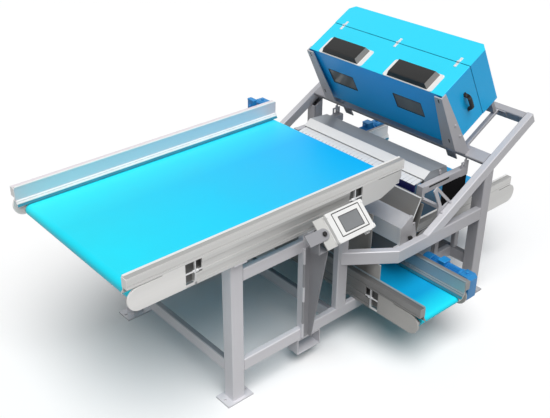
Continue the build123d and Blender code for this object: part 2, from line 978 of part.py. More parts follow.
with BuildPart() as hinge_leaves:
    for y in hinge_ys:
        block(
            slope_face(hood_top_n),
            hood_seam_u + knuckle_radius + 2,
            y - hinge_half,
            hood_seam_u + leaf_length,
            y + hinge_half,
            leaf_thick,
        )
        bar(incline(y + middle_knuckle), hood_seam_u, hinge_n, knuckle_radius, 2 * middle_knuckle, 8)
        block(
            incline(y + middle_knuckle),
            hood_seam_u + 2,
            hood_top_n,
            hood_seam_u + knuckle_radius + 3,
            hood_top_n + leaf_thick,
            2 * middle_knuckle,
        )
        bore(incline(y + middle_knuckle), hood_seam_u, hinge_n, hinge_pin, 2 * middle_knuckle)
    hinge_leaves.part.label = "hood_hinge_leaves"
    export_step(hinge_leaves.part, "parts/hood_hinge_leaves.step")

# Window panes behind the front sheet
with BuildPart() as panes:
    rim = 12
    for y in window_ys:
        block(
            slope_front(hood_front_u + sheet),
            y - window_width / 2 - rim,
            window_n - window_height / 2 - rim,
            y + window_width / 2 + rim,
            window_n + window_height / 2 + rim,
            4,
        )
    panes.part.label = "hood_windows"
    export_step(panes.part, "parts/hood_windows.step")

# Filter fans: flange with a duct and a pin for the impeller, a louvred box over it
flange_width = 404
flange_depth = 156
flange_thick = 4
duct_low = hood_top_n - 35
fan_pin = 5
with BuildPart() as fan_flanges:
    for y in fan_ys:
        block(
            slope_face(hood_top_n),
            fan_u - flange_depth / 2,
            y - flange_width / 2,
            fan_u + flange_depth / 2,
            y + flange_width / 2,
            flange_thick,
        )
        bar(slope_face(duct_low), fan_u, y, duct_radius, hood_top_n - duct_low)
        bar(
            slope_face(duct_low),
            fan_u,
            y,
            duct_radius - 3,
            hood_top_n - duct_low + flange_thick,
            mode=Mode.SUBTRACT,
        )
        block(slope_face(duct_low - 6), fan_u - duct_radius, y - 8, fan_u + duct_radius, y + 8, 6)
        bar(slope_face(duct_low), fan_u, y, fan_pin, 30)
    fan_flanges.part.label = "fan_flanges"
    export_step(fan_flanges.part, "parts/fan_flanges.step")

louvre_low = hood_top_n + flange_thick
louvre_height = 36
slot_count = 6
slot_pitch = 48
with BuildPart() as louvres:
    for y in fan_ys:
        for grow, low, high, mode in (
            (0, louvre_low, louvre_low + louvre_height, Mode.ADD),
            (-3, louvre_low, louvre_low + louvre_height - 3, Mode.SUBTRACT),
        ):
            with BuildSketch(slope_face(low)):
                with Locations((fan_u, y)):
                    Rectangle(144 + 2 * grow, 352 + 2 * grow)
            with BuildSketch(slope_face(high)):
                with Locations((fan_u, y)):
                    Rectangle(124 + 2 * grow, 316 + 2 * grow)
            loft(mode=mode)
        for step in range(slot_count):
            slot_y = y + slot_pitch * (step - (slot_count - 1) / 2)
            block(
                slope_face(louvre_low + louvre_height - 4),
                fan_u - 50,
                slot_y - 4,
                fan_u + 50,
                slot_y + 4,
                5,
                mode=Mode.SUBTRACT,
            )
    louvres.part.label = "fan_louvres"
    export_step(louvres.part, "parts/fan_louvres.step")


def impeller(name, y):
    """Seven-bladed fan wheel turning on the pin of its duct."""
    with BuildPart() as wheel:
        bar(slope_face(duct_low + 4), fan_u, y, 22, 22, 14)
        with BuildSketch(slope_face(duct_low + 6)) as blades:
            with Locations((fan_u, y)):
                with PolarLocations(38, 7):
                    Rectangle(40, 5)
        extrude(blades.sketch, amount=16)
        bore(slope_face(duct_low + 4), fan_u, y, fan_pin, 22)
    wheel.part.label = name
    export_step(wheel.part, f"parts/{name}.step")


impeller("fan_impeller_far", fan_ys[0])
impeller("fan_impeller_near", fan_ys[1])

# Bow handles on the hood's sides
with BuildPart() as handles:
    handle_u = 2420
    handle_low = 262
    handle_high = 416
    handle_reach = 36
    grip = 16
    grip_width = 24
    bow = [
        (0, handle_low),
        (handle_reach - 12, handle_low),
        (handle_reach, handle_low + 15),
        (handle_reach, handle_high - 15),
        (handle_reach - 12, handle_high),
        (0, handle_high),
        (0, handle_high - grip),
        (handle_reach - grip - 5, handle_high - grip),
        (handle_reach - grip, handle_high - grip - 7),
        (handle_reach - grip, handle_low + grip + 7),
        (handle_reach - grip - 5, handle_low + grip),
        (0, handle_low + grip),
    ]
    prism(slope_front(handle_u), [(-hood_half - t, n) for t, n in bow], grip_width)
    mirror(about=middle)
    handles.part.label = "hood_handles"
    export_step(handles.part, "parts/hood_handles.step")

# Cameras on a bar between the hood's sides
with BuildPart() as cameras:
    bar_half = hood_half - sheet
    tube(incline(bar_half), 2470, 310, 2510, 350, 2 * bar_half, wall=3)
    for y in (-450, -150, 150, 450):
        block(slope_front(2390), y - 30, 300, y + 30, 360, 80)
        bar(slope_front(2360), y, 330, 20, 30, 8)
    cameras.part.label = "camera_bar"
    export_step(cameras.part, "parts/camera_bar.step")

# Ejector box with closed ends and a front opening for the fingers, and its lid strip
end_thick = 8
opening_half = ejector_half - 14
box_outer = [(1649, 929), (1643, 973), (1700, 1013), (1877, 1000), (1895, 934)]
box_inner = [(1654, 934), (1649, 971), (1702, 1008), (1873, 996), (1889, 939)]
with BuildPart() as ejector_box:
    prism(upright(ejector_half), box_outer, 2 * ejector_half)
    prism(
        upright(ejector_half - end_thick),
        box_inner,
        2 * (ejector_half - end_thick),
        mode=Mode.SUBTRACT,
    )
    block(upright(opening_half), 1630, 936, 1660, 969, 2 * opening_half, mode=Mode.SUBTRACT)
    ejector_box.part.label = "ejector_housing"
    export_step(ejector_box.part, "parts/ejector_housing.step")

with BuildPart() as ejector_lid:
    prism(
        upright(ejector_half),
        [(1643, 973), (1700, 1013), (1698.3, 1015.5), (1637, 972.5), (1638.7, 970)],
        2 * ejector_half,
    )
    ejector_lid.part.label = "ejector_lid"
    export_step(ejector_lid.part, "parts/ejector_lid.step")

# Finger shaft between the box ends, and the banks of fingers that turn on it
with BuildPart() as finger_shaft:
    shaft_half = ejector_half - end_thick
    bar(upright(shaft_half), finger_axis_x, finger_axis_z, finger_shaft_radius, 2 * shaft_half)
    finger_shaft.part.label = "finger_shaft"
    export_step(finger_shaft.part, "parts/finger_shaft.step")

bank_width = 2 * opening_half / bank_count
finger_pitch = bank_width / fingers_per_bank
finger_shape = [
    (0, 11),
    (-112, -8),
    (-112, -64),
    (-100, -64),
    (-100, -17),
    (0, -1),
]
for bank in range(bank_count):
    bank_top = opening_half - bank * bank_width
    with BuildPart() as finger_bank:
        bar(
            upright(bank_top - finger_gap / 2),
            finger_axis_x,
            finger_axis_z,
            hub_radius,
            bank_width - finger_gap,
            6,
        )
        for finger in range(fingers_per_bank):
            finger_y = bank_top - finger * finger_pitch - finger_gap / 2
            prism(
                upright(finger_y),
                [(finger_axis_x + x, finger_axis_z + z) for x, z in finger_shape],
                finger_pitch - finger_gap,
            )
        bore(upright(bank_top), finger_axis_x, finger_axis_z, finger_shaft_radius, bank_width)
        finger_bank.part.label = f"finger_bank_{bank + 1}"
        export_step(finger_bank.part, f"parts/finger_bank_{bank + 1}.step")

# Side rails of the ejector with hangers, slotted uprights and tie bars, and the near windowed bracket
with BuildPart() as brackets:
    rail_outer = ejector_half + 48
    hanger_x = 1572
    rail_start = 1600
    near_inner = near_outer - arm_width
    far_inner = far_outer - arm_width
    corner_n = beam_top_n - member_thick
    corner_x = member_front_u * slope_cos - corner_n * slope_sin
    corner_z = member_front_u * slope_sin + corner_n * slope_cos
    rail_end = corner_x + 32
    shoulder_z = 1002
    neck_x = corner_x + 8
    neck_z = corner_z + 8 * slope_sin / slope_cos
    tube(station(rail_start), -rail_outer, 892, -ejector_half, 952, rail_end - rail_start, wall=4)
    block(upright(-ejector_half), hanger_x, 850, rail_start, 952, rail_outer - ejector_half)
    prism(
        upright(end_thick - rail_outer),
        [
            (rail_end - 75, 892),
            (rail_end, 892),
            (rail_end, shoulder_z),
            (neck_x, shoulder_z),
            (neck_x, neck_z),
            (corner_x, corner_z),
            (corner_x - 12, corner_z - 8),
            (corner_x - 12, shoulder_z),
            (rail_end - 75, shoulder_z),
        ],
        end_thick,
    )
    block(
        upright(end_thick - rail_outer),
        rail_end - 62,
        958,
        rail_end - 44,
        992,
        end_thick,
        mode=Mode.SUBTRACT,
    )
    mirror(about=middle)
    for side, inner_y in ((-1, near_inner), (1, far_inner)):
        low_y, high_y = span(side, inner_y, inner_y - rail_outer)
        block(upright(high_y), hanger_x, 850, rail_start, 870, high_y - low_y)
        low_y, high_y = span(side, inner_y, end_thick)
        block(upright(high_y), hanger_x, 780, rail_start + 40, 870, end_thick)
    prism(
        upright(end_thick - near_inner),
        [(1503, 1006), (1540, 1030), (1715, 854), (1606, 809)],
        end_thick,
    )
    prism(
        upright(end_thick - near_inner),
        [(1542, 1000), (1668, 872), (1613, 850)],
        end_thick,
        mode=Mode.SUBTRACT,
    )
    brackets.part.label = "ejector_brackets"
    export_step(brackets.part, "parts/ejector_brackets.step")

# Divider: a hollow beam on foot plates between the arms, with end blocks and tapered stands
with BuildPart() as divider_beam:
    foot_z = 648
    prism(
        upright(divider_half),
        [(1290, foot_z), (1290, 776), (1375, 830), (1395, 830), (1395, foot_z)],
        2 * divider_half,
    )
    prism(
        upright(divider_half),
        [(1293, foot_z + 3), (1293, 774), (1376, 827), (1392, 827), (1392, foot_z + 3)],
        2 * divider_half,
        mode=Mode.SUBTRACT,
    )
    prism(
        upright(-divider_half),
        [(1285, foot_z), (1285, 779), (1374, 835), (1400, 835), (1400, foot_z)],
        20,
    )
    prism(
        upright(-divider_half),
        [
            (divider_axis_x - 14, divider_axis_z + 14),
            (divider_axis_x + 14, divider_axis_z + 14),
            (divider_axis_x + 38, foot_z),
            (divider_axis_x - 14, foot_z),
        ],
        10,
    )
    bore(upright(-divider_half), divider_axis_x, divider_axis_z, pin_radius, 10)
    mirror(about=middle)
    for side, outer_y in sides:
        inner_y = outer_y - arm_width
        low_y, high_y = span(side, inner_y, inner_y - divider_half)
        block(upright(high_y), 1245, foot_z - 20, 1465, foot_z, high_y - low_y)
    divider_beam.part.label = "divider_beam"
    export_step(divider_beam.part, "parts/divider_beam.step")

with BuildPart() as divider_plate:
    plate_half = divider_half - 6
    lean_x = 80
    lean_z = 166
    bar(upright(divider_half + 9), divider_axis_x, divider_axis_z, pin_radius, 2 * divider_half + 18)
    bar(upright(plate_half), divider_axis_x, divider_axis_z, pin_radius + 5, 2 * plate_half)
    prism(
        upright(plate_half),
        [
            (divider_axis_x - 2, divider_axis_z + 5),
            (divider_axis_x + 4, divider_axis_z + 2),
            (divider_axis_x + lean_x + 4, divider_axis_z + lean_z - 3),
            (divider_axis_x + lean_x + 22, divider_axis_z + lean_z - 11),
            (divider_axis_x + lean_x + 24, divider_axis_z + lean_z - 7),
            (divider_axis_x + lean_x, divider_axis_z + lean_z + 4),
        ],
        2 * plate_half,
    )
    divider_plate.part.label = "divider_plate"
    export_step(divider_plate.part, "parts/divider_plate.step")

with BuildPart() as divider_knob:
    knob_x = 1370
    knob_z = 684
    knob_y = -divider_half - 20
    bar(upright(knob_y), knob_x, knob_z, pin_radius, 8)
    bar(upright(knob_y - 8), knob_x, knob_z, 17, 18, 10)
    divider_knob.part.label = "divider_knob"
    export_step(divider_knob.part, "parts/divider_knob.step")

# Walls standing on the reject conveyor's guides: upright under the infeed, leaning out at the divider
with BuildPart() as chute:
    guide_top = rail_top + rail_height
    wall_inner = reject_width / 2
    wall_thick = 6
    wall_outer = wall_inner + wall_thick
    wall_half = 776
    high_half = 680
    high_top = 960
    lean_half = 690
    lean_top = 860
    lean = 85
    wall_start = reject_mid_x - wall_outer
    low_height = arm_low - 2 - guide_top
    block(level(guide_top), wall_start, -wall_half, wall_start + wall_thick, wall_half, low_height)
    block(level(guide_top), wall_start, -high_half, wall_start + wall_thick, high_half, high_top - guide_top)
    lean_start = reject_mid_x + wall_inner
    prism(
        upright(lean_half),
        [
            (lean_start, guide_top),
            (lean_start + wall_thick, guide_top),
            (lean_start + lean + wall_thick, lean_top),
            (lean_start + lean, lean_top),
        ],
        2 * lean_half,
    )
    chute.part.label = "chute_walls"
    export_step(chute.part, "parts/chute_walls.step")

# Operator panel on a swinging arm: hinge on the middle post, gusset, slab, case, screen and knob
tilt_cos = cos(radians(panel_tilt))
tilt_sin = sin(radians(panel_tilt))


def panel(offset):
    """Plane of the panel's face, shifted along its normal; the sketch's origin is its upper left corner."""
    x, y, z = panel_corner
    return Plane(
        origin=(leg_x + x, mid_y + y - offset * tilt_sin, z + offset * tilt_cos),
        x_dir=(1, 0, 0),
        z_dir=(0, -tilt_sin, tilt_cos),
    )


pivot_a = -52
pivot_b = -102
slab_back = -32
slab_thick = 8
hinge_low = 230
hinge_high = 900
fixed_knuckles = ((230, 340), (510, 620), (790, 900))
moving_knuckles = ((341, 509), (621, 789))
barrel = 8
swing_pin = 4
leaf_start = swing_x + barrel + 2
with BuildPart() as panel_hinge:
    block(level(hinge_low), leaf_start, -outer_face - 4, swing_x + 44, -outer_face, hinge_high - hinge_low)
    for low, high in fixed_knuckles:
        bar(level(low), swing_x, swing_y, barrel, high - low, 8)
        block(level(low), swing_x - barrel, swing_y, leaf_start, -outer_face, high - low)
    bar(level(hinge_low), swing_x, swing_y, swing_pin, hinge_high - hinge_low)
    panel_hinge.part.label = "panel_hinge"
    export_step(panel_hinge.part, "parts/panel_hinge.step")

with BuildPart() as panel_arm:
    leaf_back = swing_y + 4
    leaf_front = swing_y - 2
    gusset_x = swing_x + 42
    block(level(hinge_low), leaf_start, leaf_front, gusset_x + 6, leaf_back, hinge_high - hinge_low)
    for low, high in moving_knuckles:
        bar(level(low), swing_x, swing_y, barrel, high - low, 8)
        block(level(low), swing_x, leaf_front, leaf_start, leaf_back, high - low)
        bore(level(low), swing_x, swing_y, swing_pin, high - low)
    x, y, z = panel_corner
    slab_edges = []
    for b in (pivot_b - 37, pivot_b + 37):
        slab_edges.append((y + b * tilt_cos - slab_back * tilt_sin, z + b * tilt_sin + slab_back * tilt_cos))
    shelf = 935
    shelf_thick = 6
    riser_x = swing_x - 24
    shelf_front = panel_y - 82
    shelf_back = panel_y - 10
    prism(
        station(gusset_x),
        [(leaf_front, 235), (-655, 235), (shelf_front, 920), (shelf_front, shelf), (leaf_front, shelf)],
        6,
    )
    block(level(shelf), riser_x, shelf_front, gusset_x + 6, shelf_back, shelf_thick)
    prism(
        station(riser_x),
        [(shelf_back - 5, shelf + shelf_thick), (shelf_front, shelf + shelf_thick), *slab_edges],
        6,
    )
    block(panel(slab_back), -183, pivot_b - 37, pivot_a, pivot_b + 37, slab_thick)
    rod(panel(slab_back), pivot_a, pivot_b, 37, slab_thick)
    bore(panel(slab_back), pivot_a, pivot_b, pin_radius, slab_thick)
    panel_arm.part.label = "panel_arm"
    export_step(panel_arm.part, "parts/panel_arm.step")

frame_thick = 14
with BuildPart() as panel_case:
    block(panel(-frame_thick), 0, -panel_height, panel_width, 0, frame_thick)
    block(panel(-panel_depth), 6, 6 - panel_height, panel_width - 6, -6, panel_depth - frame_thick)
    block(panel(slab_back - 8), -78, -panel_height - 2, 6, -4, 8)
    block(panel(-panel_depth), panel_width - 62, -panel_height - 14, panel_width - 34, 6 - panel_height, 20)
    bore(panel(slab_back - 8), pivot_a, pivot_b, pin_radius, 8)
    with BuildSketch(panel(-2)) as gap_line:
        with Locations((156, -90)):
            Rectangle(226, 152)
            Rectangle(221, 147, mode=Mode.SUBTRACT)
    extrude(gap_line.sketch, amount=3, mode=Mode.SUBTRACT)
    block(panel(-2.5), 80, -148, 239, -45, 3, mode=Mode.SUBTRACT)
    panel_case.part.label = "panel_case"
    export_step(panel_case.part, "parts/panel_case.step")

with BuildPart() as panel_screen:
    block(panel(-2.5), 80, -148, 239, -45, 2)
    panel_screen.part.label = "panel_screen"
    export_step(panel_screen.part, "parts/panel_screen.step")

with BuildPart() as panel_knob:
    bar(panel(slab_back - 10), pivot_a, pivot_b, pin_radius, 10 + slab_thick)
    bar(panel(slab_back + slab_thick), pivot_a, pivot_b, 16, 15, 10)
    panel_knob.part.label = "panel_knob"
    export_step(panel_knob.part, "parts/panel_knob.step")
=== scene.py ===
"""Finishes, small fittings, light and camera for the potato sorter, laid out as a Blender add-on."""

import math
from functools import cache
from typing import NamedTuple

import bmesh
import bpy
import numpy as np
from bpy.props import FloatProperty, FloatVectorProperty, IntProperty, PointerProperty
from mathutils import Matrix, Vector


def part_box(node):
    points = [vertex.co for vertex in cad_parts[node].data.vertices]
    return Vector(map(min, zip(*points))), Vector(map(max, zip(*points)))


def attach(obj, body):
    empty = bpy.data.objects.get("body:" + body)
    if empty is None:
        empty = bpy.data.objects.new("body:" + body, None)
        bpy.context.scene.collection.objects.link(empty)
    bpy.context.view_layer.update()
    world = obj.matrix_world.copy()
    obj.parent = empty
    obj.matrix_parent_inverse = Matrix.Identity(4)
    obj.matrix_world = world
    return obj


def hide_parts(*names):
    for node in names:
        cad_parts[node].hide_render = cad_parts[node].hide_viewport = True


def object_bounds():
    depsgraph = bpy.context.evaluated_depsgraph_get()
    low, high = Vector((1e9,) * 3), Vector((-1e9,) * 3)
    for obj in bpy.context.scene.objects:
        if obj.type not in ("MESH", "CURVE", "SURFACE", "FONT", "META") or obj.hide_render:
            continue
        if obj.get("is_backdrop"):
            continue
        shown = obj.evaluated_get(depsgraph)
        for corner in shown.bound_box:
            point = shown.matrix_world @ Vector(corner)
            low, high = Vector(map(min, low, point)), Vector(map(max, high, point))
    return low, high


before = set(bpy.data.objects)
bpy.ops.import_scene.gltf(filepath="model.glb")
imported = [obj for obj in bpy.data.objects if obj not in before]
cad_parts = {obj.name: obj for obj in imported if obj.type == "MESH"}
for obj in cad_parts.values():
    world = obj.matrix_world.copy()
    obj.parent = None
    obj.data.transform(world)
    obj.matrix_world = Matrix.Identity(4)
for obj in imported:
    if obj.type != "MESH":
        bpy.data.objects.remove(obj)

bl_info = {
    "name": "Potato sorter finishes",
    "version": (1, 1, 0),
    "blender": (4, 5, 0),
    "location": "3D View > Sidebar > Sorter",
    "description": "Dresses the packed potato sorter with finishes, fittings, light and camera",
    "category": "Object",
}

# Millimetre in metres, and the directions of the machine, its slope and its panel
MM = 0.001
SLOPE = math.radians(29)
PANEL_TILT = math.radians(43.8)
RIGHT = (1, 0, 0)
AWAY = (0, 1, 0)
NEAR = (0, -1, 0)
UP = (0, 0, 1)
UPHILL = (math.cos(SLOPE), 0, math.sin(SLOPE))
DOWNHILL = (-math.cos(SLOPE), 0, -math.sin(SLOPE))
OFF_SLOPE = (-math.sin(SLOPE), 0, math.cos(SLOPE))
PANEL_OUT = (0, -math.sin(PANEL_TILT), math.cos(PANEL_TILT))
SIDES = (-1, 1)

# Sizes of the rails, the guides on them and the tension windows in millimetres
RAIL_WIDTH = 48
RAIL_SEAM = 148
RAIL_HEIGHT = 213
RAIL_WALL = 6
LIP_TOP = 128
LIP_SLOPE = (-0.555, -0.832)
LIP_LENGTH = 43
STRIP_LENGTH = 27
BRACKET_SHARE = 0.55
BRACKET_THICK = 8
SCREW_INSET = 6
LINER_LAP = 50

# Heights between which the trim takes the reject conveyor's darker colours, painted shade, and the
# stretch in x over which the frame's paint takes the colour of the sorting end, painted shade that
# darkens it along x
LOW_TRIM_SHADE = (535, 520)
FRAME_SHADE_SPAN = (0, 2300)

# Sizes of the motors, hood, panel, divider and fingers in millimetres
MOTOR_RADIUS = 50
NOSE_AXIS = 62.7
GEARBOX_DEPTH = 92
HOOD_FRONT = 2245
HOOD_SEAM = 2543
HOOD_TOP = 550
HOOD_HALF = 625
HINGE_YS = (525, -3, -531)
WINDOW_SIZE = (248, 138)
WINDOW_N = 320
WINDOW_YS = (368, -268)
FAN_U = 2325
FAN_YS = (315, -315)
FLANGE_SIZE = (160, 430)
FLANGE_THICK = 4
LOUVRE_TOP = 590
PANEL_CORNER = (600, -690, 1134)
DIVIDER_AXIS = (1425, 752, 694)
DIVIDER_RISE = (82, 165)
FINGER_FRONT = (1586, 1582)

# Angle from which an edge stays sharp, and the height of the finishes' relief in metres
CREASE = math.radians(35)
RELIEF_DEPTH = 0.0006

# Noise at a cloud's darkest and palest, and the lean at which an edge starts to pale and is all paled,
# which stands for wear and paints a highlight on eased edges
CLOUD_NOISE = (0.32, 0.68)
RUB_AND_SHEEN_LEAN = (0.985, 0.80)

# Shares of a normal between which a face that looks up, or out along an axis, changes colour
FACING_UP = (0.5, 0.8)
FACING_OUT = (0.6, 0.8)

# Points on a round outline, on each rounded corner and along a bow
ROUND_SIDES = 32
CORNER_POINTS = 6
BOW_STEPS = 41

# Photograph's frame in pixels, and the camera's sensor in millimetres
PHOTO_WIDTH = 550
PHOTO_HEIGHT = 418
SENSOR_WIDTH = 36


def colour(name, words, default, text="Colour of the {}"):
    """Colour property whose description holds these words."""
    description = text.format(words)
    return FloatVectorProperty(
        name=name, description=description, subtype="COLOR", size=3, min=0, max=1, default=default
    )


def kept_share(name, words, default):
    """Colour property for painted shade: the share of its own colour that a surface keeps."""
    return colour(name, words, default, "Share of its colour that {} keeps")


def number(name, description, default, least=0, **options):
    """Number property that is no less than the least."""
    return FloatProperty(name=name, description=description, default=default, min=least, **options)


def angle(name, description, degrees):
    """Angle property with its default in degrees."""
    default = math.radians(degrees)
    return FloatProperty(name=name, description=description, subtype="ANGLE", default=default)


class SorterColours(bpy.types.PropertyGroup):
    """Colours of the finishes."""

    # Painted shade: the belt colour at right darkens the belts towards the sorting end, where less light
    # falls; the plain belt colour is the lit copy at the infeed's end
    belt: colour("Belt", "belts at the infeed's end", (0.012, 0.78, 0.98))
    belt_shaded_right: colour("Belt at right", "belts towards the sorting end", (0.004, 0.48, 0.96))
    # Painted shade: a darker copy of the belt colour for the reject belt, which runs in shade under the
    # infeed
    belt_reject_shaded: colour("Reject belt", "reject belt's upper run", (0.003, 0.38, 0.72))
    # Painted highlight: a paler cyan band along the infeed belt's far guide
    belt_far_highlight: colour("Belt at the far side", "infeed belt along its far guide", (0.050, 0.93, 1.0))
    # Painted shade for the takeaway belt under the hood
    belt_shade: kept_share("Belt shade", "the belt under the hood", (0.15, 0.25, 0.24))
    # Painted shade: darker copies of the trim and the caps for the reject conveyor, which runs in shade
    # under the infeed
    trim_shaded_low: colour("Low trim", "strips and beads on the reject conveyor", (0.27, 0.33, 0.36))
    cap_shaded_low: colour("Low caps", "caps on the reject conveyor's guides", (0.32, 0.315, 0.31))
    # Partly painted shadow: the lips' dark teal stands for the shadow where the strips meet the belt
    lip: colour("Lips", "lips under the sealing strips", (0.025, 0.27, 0.38))
    hood: colour("Hood", "hood's lacquer", (0.010, 0.47, 0.98))
    # Painted light: lit copies of the hood's blue where the lacquer faces up and on the near side, which
    # face the light
    hood_top_lit: colour("Hood top", "lacquer where it faces up", (0.030, 0.72, 0.98))
    hood_side_lit: colour("Hood side", "lacquer on the near side", (0.006, 0.51, 1.0))
    motor: colour("Motor", "gearmotors' paint", (0.010, 0.27, 0.66))
    # Painted shade: the frame's and the beams' paint darkens along x from the infeed's end, whose colour
    # is the lit copy, to the sorting end
    frame_tube: colour("Frame", "frame's paint at the infeed's end", (0.81, 0.80, 0.835))
    frame_shaded_right: colour("Frame at right", "frame's paint towards the sorting end", (0.40, 0.395, 0.415))
    beam_shaded_right: colour("Beams at right", "beams' paint at their upper end", (0.56, 0.555, 0.58))
    rail: colour("Rails", "aluminium side rails", (0.74, 0.735, 0.72))
    # Painted light: a lit copy of the rail colour for the infeed's far rail, which replaces the painted
    # shade on feet and ledges there
    rail_far_lit: colour("Far rail", "infeed's far rail", (0.78, 0.73, 0.77))
    lid: colour("Lids", "ejector's lid, window sills and guides' caps", (0.844, 0.841, 0.832))
    # Painted shade: the infeed's end plates darken from the lit tail, the end plate colour, to the head
    end_plate: colour("End plates", "end plates at the infeed's tail", (0.94, 0.93, 0.91))
    plate_shaded_right: colour("Plates at right", "end plates at the infeed's head", (0.60, 0.595, 0.585))
    # Painted shade: darker copies of the rail aluminium for the reject conveyor's end plates and rails,
    # which lie in shade under the infeed; the camera bar shares the rails' finish
    cross_plate: colour("Cross plates", "reject conveyor's end plates", (0.46, 0.45, 0.43))
    cross_rail: colour("Cross rails", "reject conveyor's rails", (0.52, 0.515, 0.505))
    # Painted shade: the shares below darken the cross rails' tops, the rails' feet, the rails' ledges
    # that face up, and the rails deep in the machine, where shade falls
    rail_top_shade: kept_share("Rail top shade", "a cross rail's top", (0.36, 0.37, 0.38))
    foot_shade: kept_share("Foot shade", "a rail's shaded foot", (0.56, 0.56, 0.56))
    ledge_shade: kept_share("Ledge shade", "a rail's ledge", (0.55, 0.55, 0.55))
    deep_shade: kept_share("Deep shade", "a rail deep in the machine", (0.42, 0.42, 0.42))
    # Partly painted shade: the liners' dark grey stands for the shade inside the tension windows
    liner: colour("Liners", "liners in the tension windows", (0.20, 0.20, 0.197))
    housing: colour("Ejector housing", "ejector's sheet", (0.37, 0.395, 0.42))
    skirt: colour("Skirts", "rubber skirts", (0.006, 0.006, 0.007))
    zinc: colour("Zinc", "plated steel pieces", (0.62, 0.63, 0.65))
    bright_zinc: colour("Bright zinc", "hinges, screws and nuts", (0.829, 0.8335, 0.8425))
    moulding: colour("Moulding", "black mouldings", (0.020, 0.020, 0.020))
    finger: colour("Finger pads", "ejector fingers' pads", (0.010, 0.012, 0.10))
    finger_top: colour("Finger tops", "ejector fingers' upper sides", (0.78, 0.785, 0.79))
    divider: colour("Divider", "divider plate", (0.33, 0.31, 0.29))
    divider_beam: colour("Divider beam", "divider's beam", (0.52, 0.515, 0.53))
    window: colour("Windows", "hood's windows", (0.20, 0.19, 0.175))
    screen: colour("Screen", "panel's screen", (0.24, 0.25, 0.26))
    # Painted reflection: lighter grey on the filter boxes' ends
    filter_end_reflection: colour("Filter box ends", "filter boxes' ends", (0.24, 0.225, 0.215))
    # Painted shade: the panel arm takes a darker copy of the frame's paint
    panel_arm: colour("Panel arm", "panel arm's paint", (0.33, 0.33, 0.35))
    panel_slab: colour("Panel slab", "slab beside the panel's case", (0.58, 0.58, 0.56))
    chute: colour("Chute", "chute walls", (0.22, 0.21, 0.20))
    # Painted light: a lighter copy of the chute colour where the walls' near end reaches out of the shade
    chute_end_lit: colour("Chute end", "chute walls' near end", (0.48, 0.47, 0.45))
    white: colour("White", "white pieces", (0.88, 0.88, 0.87))


class SorterFinish(bpy.types.PropertyGroup):
    """Scale of the surface detail."""

    edge_round: number("Edge rounding", "Radius by which sharp edges look eased", 0.002, unit="LENGTH")
    peel_scale: number("Paint peel", "Ripples of the paint to the metre", 260, 1)
    brush_scale: number("Brushing", "Brush marks to the metre, across the marks", 420, 1)
    weave_scale: number("Belt weave", "Threads of the belt's cover to the metre", 330, 1)


class SorterFittings(bpy.types.PropertyGroup):
    """Sizes of the small fittings."""

    strip_rise: number("Strip rise", "Height of the sealing strips' two beads", 0.0034, unit="LENGTH")
    bolt_size: number("Bolts", "Thread of the frame's bolts", 0.010, 0.001, unit="LENGTH")
    knob_lobes: IntProperty(name="Knob lobes", description="Lobes of a star knob", min=3, default=6)
    motor_fins: IntProperty(
        name="Motor fins", description="Cooling fins round a motor", min=6, default=26
    )


class SorterStage(bpy.types.PropertyGroup):
    """Camera, lamps and floor."""

    camera_place: FloatVectorProperty(
        name="Camera place",
        description="Where the camera stands, from the middle of the front legs",
        subtype="TRANSLATION",
        unit="LENGTH",
        size=3,
        default=(-2.3878, -3.6462, 3.5767),
    )
    camera_pitch: angle("Camera pitch", "Angle of the camera's axis above the horizon", -28.75)
    camera_yaw: angle("Camera yaw", "Turn of the camera from the +Y direction", -40.42)
    focal_pixels: number("Focal length", "Focal length in pixels of the photograph", 824.23, 1)
    axis_pixel: FloatVectorProperty(
        name="Axis pixel",
        description="Pixel at which the camera's axis meets the photograph",
        size=2,
        default=(263.56, 193.02),
    )
    key_strength: number("Key lamp", "Strength of the soft key lamp", 2.92)
    key_tilt: angle("Key tilt", "Angle of the key lamp from straight overhead", 25)
    key_turn: angle("Key turn", "Turn of the key lamp from the near side, to the left below zero", -30)
    key_spread: angle("Key spread", "How wide the key lamp looks, which softens its shadow", 50)
    fill_level: number("Fill level", "Strength of the light from all round", 0.165)
    floor_white: number("Floor", "How pale the floor looks", 1.0, max=1, subtype="FACTOR")
    floor_return: number(
        "Floor return", "Share of its light that the floor throws back", 0.30, max=1, subtype="FACTOR"
    )


# Finishes, the ways that their marks are drawn out, and the CAD nodes that share one
EVEN = (1, 1, 1)
ALONG_X = (0.02, 1, 1)
ALONG_Y = (1, 0.02, 1)


class Finish(NamedTuple):
    """Look of a finish, its colour by name, its relief as marks to the metre or as a setting's name."""

    colour: str
    rub_and_sheen: float
    darker: float
    cloud: float
    gloss: tuple
    relief: object
    depth: float
    stretch: tuple = EVEN
    grain: tuple = EVEN
    wear_and_sheen: float = 0.3
    radius: float = 0
    metallic: float = 0
    specular: float = 0.5
    nodes: tuple = ()


FRAME_TUBES = (
    "front_legs",
    "rear_legs",
    "frame_rails",
    "posts",
    "outrigger_arms",
    "fork_pockets",
    "hood_cross_members",
    "hood_supports",
    "ejector_brackets",
    "panel_hinge",
)
ZINC_PIECES = (
    "infeed_bed",
    "reject_bed",
    "takeaway_bed",
    "infeed_tail_roller",
    "infeed_drive_roller",
    "reject_tail_roller",
    "reject_drive_roller",
    "takeaway_tail_roller",
    "takeaway_drive_roller",
    "finger_shaft",
)
IMPELLERS = ("fan_impeller_far", "fan_impeller_near")
BRIGHT_PIECES = ("hood_hinges", "hood_hinge_leaves", "take_up_units")
FINGER_BANKS = ("finger_bank_1", "finger_bank_2", "finger_bank_3", "finger_bank_4")
